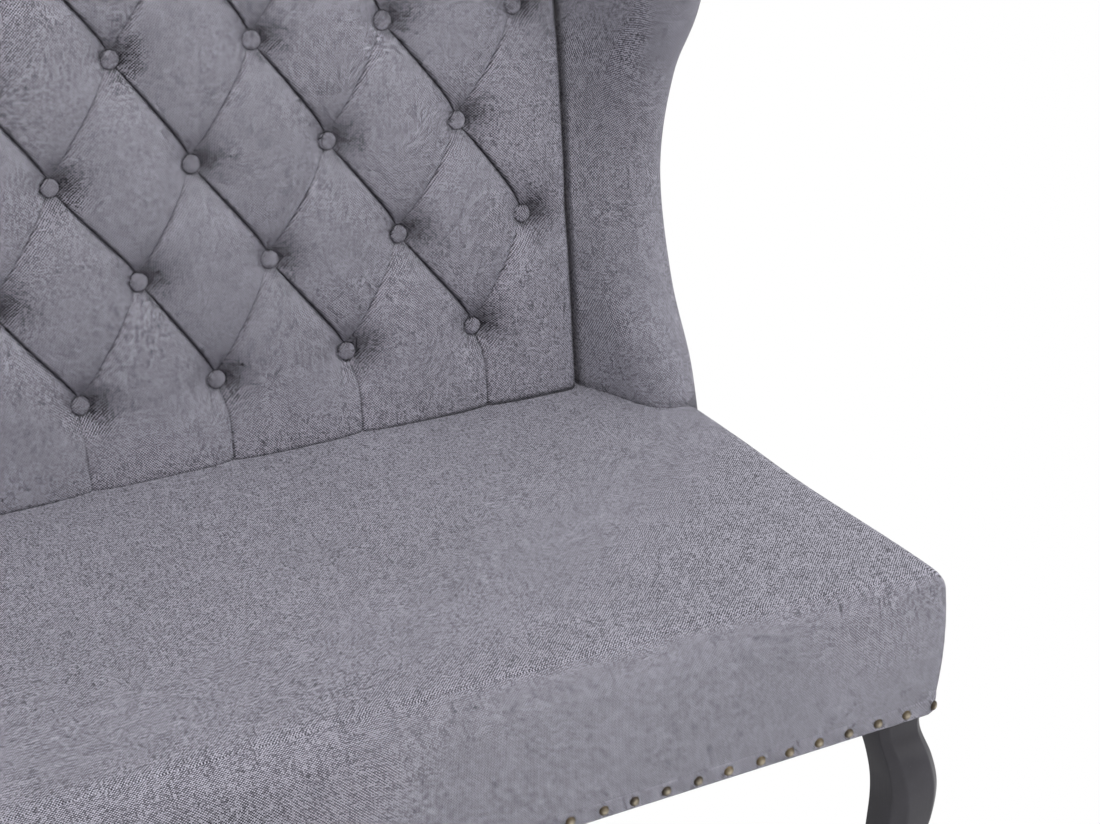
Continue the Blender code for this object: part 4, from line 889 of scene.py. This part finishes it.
def tuft_points(lines):
    """Points of the cover's mesh: rows along each fold, and a plain grid between."""
    cell = 0.0007
    taken = set()
    kept = []

    def keep(u, v):
        key = (round(u / cell), round(v / cell))
        if key in taken or not (-INSIDE_HALF < u < INSIDE_HALF and SEAT_V - 0.012 < v < END_V):
            return
        taken.add(key)
        kept.append((u, v))

    for v_edge in (SEAT_V - 0.012, END_V):
        for k in range(251):
            kept.append((-INSIDE_HALF + k * 2 * INSIDE_HALF / 250, v_edge))
    height = END_V - SEAT_V + 0.012
    for u_edge in (-INSIDE_HALF, INSIDE_HALF):
        for k in range(1, 200):
            kept.append((u_edge, SEAT_V - 0.012 + height * k / 200))
    near_fold = []
    for points, *_ in lines:
        line = np.array(points)
        tangent = np.gradient(line, axis=0)
        tangent /= np.linalg.norm(tangent, axis=1)[:, None]
        normal = np.stack((-tangent[:, 1], tangent[:, 0]), 1)
        for offset in (0.0, 0.0008, -0.0008, 0.0018, -0.0018, 0.0036, -0.0036):
            for u, v in line + normal * offset:
                keep(u, v)
        near_fold.append(line)
    samples = np.concatenate(near_fold)
    blocked = set()
    spacing = 0.0040
    for u, v in samples:
        for du in (-1, 0, 1):
            for dv in (-1, 0, 1):
                blocked.add((round(u / spacing) + du, round(v / spacing) + dv))
    rows = int(height / spacing)
    for j in range(rows + 1):
        v = SEAT_V - 0.010 + j * spacing
        shift = 0.5 * (j % 2)
        for i in range(int(-INSIDE_HALF / spacing), int(INSIDE_HALF / spacing) + 1):
            u = (i + shift) * spacing
            if (round(u / spacing), round(v / spacing)) not in blocked:
                keep(u, v)
    return np.array(kept)


def tufted_back():
    """The deep-buttoned inside back, one cloth pleated from button to button."""
    lines = folds()
    uv = tuft_points(lines)
    flat = [Vector((u, v)) for u, v in uv]
    made = delaunay_2d_cdt(flat, [], [], 0, 1e-7)
    uv = np.array([(p.x, p.y) for p in made[0]])
    depth, dark = tuft_depth(uv, lines)
    y, z = back_surface(uv[:, 1], depth)
    drawn = smoothstep((np.abs(uv[:, 0]) - INSIDE_HALF + SIDE_DRAW) / SIDE_DRAW)
    points = np.stack((uv[:, 0] - np.sign(uv[:, 0]) * SIDE_GAP * drawn, y, z), 1)
    faces = [tuple(face) for face in made[2]]
    count = len(points)
    rim = side_walls(uv, points)
    for wall_points, wall_faces in rim:
        offset = count
        points = np.concatenate((points, wall_points))
        faces += [tuple(k + offset for k in face) for face in wall_faces]
        count = len(points)
    uvs = np.zeros((count, 2))
    uvs[:len(uv)] = uv
    uvs[len(uv):] = points[len(uv):, (1, 2)]
    mesh = mesh_of("tufted_cover", points, faces, uvs)
    # Painted shade for the "crease" attribute: full on the returns into the gaps beside the wings, and
    # as tuft_depth gives it on the face.
    shade = np.ones(count)
    shade[:len(uv)] = dark
    mesh.attributes.new("crease", "FLOAT", "POINT").data.foreach_set("value", shade)
    piece = add_piece("inside_back_buttoned", mesh, CLOTH,
                      ["inside_back_cover"])
    return piece


def side_walls(uv, points):
    """The cover's returns into the dark gap beside each wing."""
    walls = []
    for side in (-1, 1):
        on_edge = np.where(np.abs(uv[:, 0] - side * INSIDE_HALF) < 1e-6)[0]
        on_edge = on_edge[np.argsort(uv[on_edge, 1])]
        y, z = back_surface(uv[on_edge, 1], SIDE_RETURN + 0.004)
        inner = np.stack((np.full(len(y), side * (INSIDE_HALF - SIDE_GAP)), y, z), 1)
        ring = np.concatenate((points[on_edge], inner))
        n = len(on_edge)
        order = grid_faces(2, n)
        if side > 0:
            order = [face[::-1] for face in order]
        walls.append((ring, order))
    return walls


def buttons():
    """Cloth-covered buttons, seated in the pits."""
    profile = ((0.60, -0.75), (0.90, -0.45), (1.0, 0.0), (0.99, 0.22), (0.90, 0.50),
               (0.74, 0.72), (0.52, 0.88), (0.27, 0.97), (0.08, 1.0))
    sides = 24
    rng = random.Random(3)
    points = []
    faces = []
    uvs = []
    for i, j in button_places():
        u0, v0 = place_of(i, j)
        lean_u = rng.uniform(-0.10, 0.10)
        lean_v = rng.uniform(-0.05, 0.12)
        size = BUTTON_RADIUS * rng.uniform(0.97, 1.03)
        start = len(points)
        for width, height in profile:
            for k in range(sides):
                angle = math.tau * k / sides
                du = size * width * math.cos(angle)
                dv = size * width * math.sin(angle)
                depth = TUFT_DEPTH - BUTTON_HEIGHT * 0.66 * height
                depth += lean_u * du + lean_v * dv
                y, z = back_surface(v0 + dv, depth)
                points.append((u0 + du, float(y), float(z)))
                uvs.append((u0 * 1.31 + du + rng.random() * 1e-5, v0 * 1.17 + dv))
        for a, b, c, d in grid_faces(len(profile), sides, closed=True):
            faces.append((a + start, b + start, c + start, d + start))
        last = start + (len(profile) - 1) * sides
        faces.append(tuple(range(last, last + sides)))
    mesh = mesh_of("buttons", points, faces, uvs)
    return add_piece("back_buttons", mesh, BUTTON_CLOTH)


def outside_back():
    """The outside cloth, stretched over the back of the frame and slightly slack."""
    columns = 70
    rows = 60
    front = BACK_PAD + FRAME_DEPTH
    points = []
    uvs = []
    low = (LEG_HEIGHT + 0.0005 - SEAT_DEPTH_Z) / COS
    high = ROLL_S - 0.0008
    for j in range(rows + 1):
        s = low + (high - low) * j / rows
        for i in range(columns + 1):
            x = WING_OUT * (2 * i / columns - 1)
            edge_x = min(1.0, (1 - abs(x) / WING_OUT) * 30)
            edge_s = min(1.0, min(j, rows - j) / 3)
            rounding = math.sqrt(max(0.0, 1 - (1 - edge_x) ** 2)) * math.sqrt(
                max(0.0, 1 - (1 - edge_s) ** 2))
            slack = 0.0006 * math.sin(math.pi * j / rows) * math.sin(3.0 * x + 0.5)
            w = front + OUTSIDE_BACK * rounding + slack * rounding
            y, z = slope(s, w)
            bend_y = POST_FRONT_Y + FRAME_DEPTH + OUTSIDE_BACK * rounding
            points.append((x, max(y, bend_y), z))
            uvs.append((x, s))
    mesh = mesh_of("outside_back", points, [f[::-1] for f in grid_faces(rows + 1, columns + 1)],
                   uvs)
    piece = add_piece("outside_back", mesh, CLOTH, ["outside_back_cover"])
    return piece


# Wings

def to_slope(y, z):
    dy = y - SEAT_DEPTH
    dz = z - SEAT_DEPTH_Z
    return dy * SIN + dz * COS, dy * COS - dz * SIN


def wing_edge():
    """Stations along the wing's edge: (y, z) point, outward normal, padding radius."""
    span = HEIGHT - SEAT_DEPTH_Z
    radius = ROLL - 0.001
    centre = Vector(slope(ROLL_S + 0.001, ROLL))
    knots = []
    for share, reach in WING_EDGE:
        z = SEAT_DEPTH_Z + span * share
        knots.append(Vector((crown_y(z) - reach, z)))
    knots.append(centre + Vector((0.0, radius)))
    line = [Vector((p.x, min(p.y, centre.y + radius))) for p in spline(knots, WING_STEPS)]
    stations = []
    for i, point in enumerate(line):
        along = (line[min(i + 1, len(line) - 1)] - line[max(i - 1, 0)]).normalized()
        stations.append((point, Vector((-along.y, along.x)), WING_ROLL))
    rear_roll = ROLL + radius - BACK_PAD
    rear_steps = 14
    for step in range(1, rear_steps + 1):
        share = step / rear_steps
        turn = math.pi / 2 * share
        outward = Vector((math.sin(turn), math.cos(turn)))
        stations.append((centre + outward * radius, outward,
                         WING_ROLL + (rear_roll - WING_ROLL) * share))
    return stations


EDGE = wing_edge()


def nose_y(z):
    """Front of the wing at a height, up to where its edge turns over."""
    top = SEAT_DEPTH_Z + (HEIGHT - SEAT_DEPTH_Z) * WING_NOSE_TOP
    z = min(z, top)
    for (a, _, _), (b, _, _) in zip(EDGE, EDGE[1:]):
        if a.y <= z <= b.y:
            return a.x + (b.x - a.x) * (z - a.y) / (b.y - a.y)
    return EDGE[0][0].x


def wing_point(at, sine, face, side):
    """A point of the wing's skin, whose inner face splays out towards the back."""
    y, z = at
    nose = nose_y(z)
    run = crown_y(z) + MEETING_DEPTH - nose
    share = min(1.0, max(0.0, (y - nose) / run))
    half = WING_ROLL + WING_SPLAY / 2 * share ** SPLAY_POWER
    middle = WING_OUT - half
    return Vector((side * (middle + face * half * sine), y, z))


def wing_inner_places(core):
    """Where the inner face meets the inside back, and where it ends on the frame."""
    s, w = to_slope(*core)
    top = ROLL_S + 0.0005
    end_w = BACK_PAD - 0.0005
    end = Vector(slope(min(s, top), end_w) if w < end_w else slope(top, w))
    if w < MEETING_DEPTH:
        return Vector(slope(min(s, top + 0.0005), MEETING_DEPTH)), end
    return (core + end) / 2, end


def wing(side, hand):
    """Padded cover of one wing, from the seam on its outer side to the back."""
    angles = [90 - 7.5 * k for k in range(13)]
    points = []
    uvs = []
    walked = 0.0
    previous = None
    for point, outward, roll in EDGE:
        if previous is not None:
            walked += (point - previous).length
        previous = point
        core = point - outward * roll
        section = []
        _, w = to_slope(*core)
        lap = core - outward * WING_SEAM
        if w > ROLL - WING_SEAM:
            lap = Vector(slope(ROLL_S + 0.0005, w))
        section.append(Vector((side * (WING_OUT - 0.0030), *lap)))
        section.append(Vector((side * (WING_OUT - 0.0006), *(lap + (core - lap) * 0.10))))
        section.append(Vector((side * WING_OUT, *(lap + (core - lap) * 0.35))))
        for angle in angles:
            turn = math.radians(angle)
            at = core + outward * roll * math.cos(turn)
            section.append(wing_point(at, math.sin(turn), 1, side))
        for angle in angles[::-1][1:]:
            turn = math.radians(angle)
            at = core + outward * roll * math.cos(turn)
            section.append(wing_point(at, math.sin(turn), -1, side))
        meeting, end = wing_inner_places(core)
        steps = 10
        for k in range(1, steps + 1):
            section.append(wing_point(core + (meeting - core) * k / steps, 1.0, -1, side))
        for k in (0.3, 1.0):
            section.append(wing_point(meeting + (end - meeting) * k, 1.0, -1, side))
        across = 0.0
        last = section[0]
        for p in section:
            across += (p - last).length
            last = p
            points.append(p)
            uvs.append((side * across, walked))
    columns = len(points) // len(EDGE)
    faces = grid_faces(len(EDGE), columns)
    if side < 0:
        faces = [face[::-1] for face in faces]
    mesh = mesh_of("wing_" + hand, points, faces, uvs)
    # Painted shade on the wing below the height of the seat's crown, where it meets the seat.
    painted_shade = [0.7 * smoothstep((SEAT_CROWN + 0.003 - p.z) / 0.014) for p in points]
    mesh.attributes.new("crease", "FLOAT", "POINT").data.foreach_set("value", painted_shade)
    piece = add_piece("wing_upholstery_" + hand, mesh, CLOTH,
                      ["wing_cover_" + hand])
    return piece


def outer_panel(hand):
    """The tight panel on a wing's outer side: the CAD panel with eased edges."""
    source = frame["nodes"]["wing_outer_panel_" + hand]
    bm = bmesh.new()
    bm.from_mesh(source.data)
    bm.transform(Matrix.Translation((0.0, -FRONT_Y, 0.0)) @ source.matrix_world)
    bmesh.ops.remove_doubles(bm, verts=bm.verts, dist=1e-5)
    bmesh.ops.dissolve_limit(bm, angle_limit=math.radians(1), verts=bm.verts, edges=bm.edges)
    sharp = [e for e in bm.edges if len(e.link_faces) == 2
             and e.calc_face_angle() > math.radians(60) and e.calc_length() > 0.004]
    bmesh.ops.bevel(bm, geom=sharp, offset=PANEL_EASE, segments=3, profile=0.5, affect="EDGES")
    layer = bm.loops.layers.uv.new("cloth")
    for face in bm.faces:
        flat = abs(face.normal.x) > 0.5
        for loop in face.loops:
            p = loop.vert.co
            loop[layer].uv = (p.y, p.z) if flat else (p.x, p.z)
    mesh = bpy.data.meshes.new("outer_panel_" + hand)
    bm.to_mesh(mesh)
    bm.free()
    name = "wing_outer_panel_" + hand
    add_piece("covered_" + name, mesh, CLOTH, [name], smooth_angle=40)


# Legs

def front_leg_stations():
    """Cabriole line: height, sideways shift, y, half width, half depth, chamfer."""
    half = LEG_TOP / 2
    y0 = LEG_INSET_Y + half
    knee_y = KNEE_HALF - KNEE_PROUD
    return (
        (LEG_TOP_Z, 0.0, y0, half, half, 0.007),
        (0.92 * LEG_HEIGHT, 0.001, y0 - 0.002, half, half, 0.008),
        (0.84 * LEG_HEIGHT, 0.006, knee_y + 0.005, half + 0.002, half + 0.002, 0.010),
        (0.76 * LEG_HEIGHT, 0.011, knee_y, KNEE_HALF, KNEE_HALF, 0.0115),
        (0.68 * LEG_HEIGHT, 0.013, knee_y, KNEE_HALF, KNEE_HALF, 0.0125),
        (0.59 * LEG_HEIGHT, 0.012, knee_y + 0.003, KNEE_HALF - 0.001, KNEE_HALF - 0.001, 0.013),
        (0.48 * LEG_HEIGHT, 0.007, knee_y + 0.009, half - 0.002, half - 0.002, 0.0125),
        (0.36 * LEG_HEIGHT, 0.001, knee_y + 0.015, half - 0.007, half - 0.007, 0.011),
        (0.24 * LEG_HEIGHT, -0.003, knee_y + 0.018, half - 0.011, half - 0.011, 0.009),
        (0.13 * LEG_HEIGHT, -0.002, knee_y + 0.015, half - 0.0115, half - 0.0115, 0.008),
        (0.06 * LEG_HEIGHT, 0.001, knee_y + 0.009, half - 0.0085, half - 0.0085, 0.008),
        (LEG_FOOT_Z, 0.002, knee_y + 0.006, half - 0.009, half - 0.009, 0.006),
    )


def rear_leg_stations():
    """Sabre line: straight below the seat, then swept back to the heel."""
    half = LEG_TOP / 2
    foot = LEG_FOOT_Z
    y0 = SEAT_LENGTH - LEG_INSET_Y - half
    end_y = REAR_HEEL - REAR_FOOT_HALF
    stations = []
    for share in (0.0, 0.14, 0.28, 0.42, 0.56, 0.70, 0.84, 0.93, 1.0):
        z = LEG_TOP_Z + (foot - LEG_TOP_Z) * share
        width = half + (REAR_FOOT_HALF - half) * smoothstep(share)
        y = y0 + (end_y - y0) * share ** REAR_SWEEP
        stations.append((z, 0.004 * share, y, width, width, 0.005 + 0.001 * share))
    return stations


def leg_outline(half_x, half_y, cut_show, cut_plain):
    """A square section with eased chamfers, as (sideways, forward) pairs."""
    corners = ((1, 1, cut_show), (-1, 1, cut_show), (-1, -1, cut_plain), (1, -1, cut_plain))
    points = []
    for sx, sy, cut in corners:
        along_x = Vector((sx * (half_x - cut), sy * half_y))
        along_y = Vector((sx * half_x, sy * (half_y - cut)))
        first, last = (along_y, along_x) if sx * sy > 0 else (along_x, along_y)
        tip = Vector((sx * half_x, sy * half_y))
        chamfer = (last - first) * CHAMFER_EASE
        for centre, into in ((first, tip - first), (last, tip - last)):
            near = centre + chamfer if centre is first else centre - chamfer
            outer = centre - into * CHAMFER_EASE * 1.2
            order = (outer, centre, near) if centre is first else (near, centre, outer)
            for t in (0.0, 0.25, 0.5, 0.75, 1.0):
                a, b, c = order
                points.append(a * (1 - t) ** 2 + b * 2 * t * (1 - t) + c * t ** 2)
    return points


def leg(end, side, hand, stations):
    """One leg, lofted through the CAD leg's sections with a smooth line."""
    forward = 1 if end == "front" else -1
    points = []
    for z, dx, y, half_x, half_y, cut in spline([Vector(line) for line in stations], 8):
        for x, ahead in leg_outline(half_x, half_y, cut, PLAIN_CUT * cut):
            points.append((side * (LEG_X + dx + x), y - forward * ahead, z))
    count = len(leg_outline(1.0, 1.0, 0.1, 0.1))
    rows = len(points) // count
    faces = grid_faces(rows, count, closed=True)
    faces.append(tuple(range(count)))
    faces.append(tuple(range((rows - 1) * count, rows * count))[::-1])
    mesh = mesh_of(f"leg_{end}_{hand}_body", points, faces)
    bm = bmesh.new()
    bm.from_mesh(mesh)
    bmesh.ops.recalc_face_normals(bm, faces=bm.faces)
    bm.to_mesh(mesh)
    bm.free()
    name = f"leg_{end}_{hand}"
    add_piece("carved_" + name, mesh, LACQUER, [name], smooth_angle=35)


def legs():
    for side, hand in ((1, "right"), (-1, "left")):
        leg("front", side, hand, front_leg_stations())
        leg("rear", side, hand, rear_leg_stations())


# Carried-over pieces

def dress_cad():
    finishes = (
        ("glide_", NYLON), ("dust_cover", CAMBRIC), ("seat_webbing", JUTE),
        ("back_webbing", JUTE), ("seat_foam", FOAM), ("back_foam", FOAM), ("wing_pad", FOAM),
        ("hanger_bolt", STEEL), ("back_bolt", STEEL), ("seat_", BEECH), ("corner_block", BEECH),
        ("back_", BEECH), ("wing_frame", BEECH), ("leg_", LACQUER), ("wing_outer_panel", CLOTH),
    )
    for name, obj in frame["nodes"].items():
        for start, material in finishes:
            if name.startswith(start):
                obj.data.materials.clear()
                obj.data.materials.append(material)
                break


# Stage, light and camera

CAMERA_LENS = 72.91
CAMERA_AT = (-0.615, FRONT_Y - 1.4867, 1.5757)
CAMERA_PITCH = 64.404
CAMERA_TURN = -27.796
FLOOR_HALF = 9.0


def white_to_camera(tree, lit, white, output):
    """Shows plain white to the camera, and the lit surface to everything else."""
    ray = tree.nodes.new("ShaderNodeLightPath")
    mixed = tree.nodes.new("ShaderNodeMixShader")
    tree.links.new(ray.outputs["Is Camera Ray"], mixed.inputs[0])
    tree.links.new(lit.outputs[0], mixed.inputs[1])
    tree.links.new(white.outputs[0], mixed.inputs[2])
    tree.links.new(mixed.outputs[0], tree.nodes[output].inputs["Surface"])


def stage():
    material, tree, shader = new_material("white_floor")
    glow = node(tree, "ShaderNodeEmission", Color=(1, 1, 1, 1), Strength=1.0)
    finish(tree, shader, (0.86, 0.86, 0.86, 1), 0.8)
    white_to_camera(tree, shader, glow, "Material Output")
    corners = [(FLOOR_HALF * x, FLOOR_HALF * y, 0) for x, y in ((-1, -1), (1, -1), (1, 1), (-1, 1))]
    mesh = mesh_of("floor", corners, [(0, 1, 2, 3)])
    mesh.materials.append(material)
    floor = bpy.data.objects.new("floor", mesh)
    bpy.context.collection.objects.link(floor)


def world():
    made = bpy.data.worlds.new("studio")
    bpy.context.scene.world = made
    made.use_nodes = True
    tree = made.node_tree
    soft = tree.nodes["Background"]
    soft.inputs["Color"].default_value = (1.0, 1.0, 1.0, 1)
    soft.inputs["Strength"].default_value = 0.78
    white = tree.nodes.new("ShaderNodeBackground")
    white.inputs["Color"].default_value = (1, 1, 1, 1)
    white.inputs["Strength"].default_value = 1.0
    white_to_camera(tree, soft, white, "World Output")


def softbox(name, at, aim, size, power):
    light = bpy.data.lights.new(name, "AREA")
    light.shape = "RECTANGLE"
    light.size, light.size_y = size
    light.energy = power
    obj = bpy.data.objects.new(name, light)
    obj.location = at
    obj.rotation_euler = (Vector(aim) - Vector(at)).to_track_quat("-Z", "Y").to_euler()
    bpy.context.collection.objects.link(obj)


def camera():
    data = bpy.data.cameras.new("camera")
    data.lens = CAMERA_LENS
    data.sensor_width = 36.0
    obj = bpy.data.objects.new("camera", data)
    obj.location = CAMERA_AT
    obj.rotation_euler = (math.radians(CAMERA_PITCH), 0.0, math.radians(CAMERA_TURN))
    bpy.context.collection.objects.link(obj)
    bpy.context.scene.camera = obj


def main():
    dress_cad()
    legs()
    seat()
    trim_band()
    nails()
    tufted_back()
    buttons()
    outside_back()
    wing(1, "right")
    wing(-1, "left")
    outer_panel("right")
    outer_panel("left")
    stage()
    world()
    softbox("key", (2.2, -2.2, 2.4), (0.2, 0.0, 0.6), (1.4, 1.4), 18.0)
    softbox("overhead", (0.6, -0.9, 3.6), (0.2, 0.0, 0.6), (1.4, 1.4), 32.0)
    camera()
    bpy.context.scene.view_settings.view_transform = "Standard"


main()
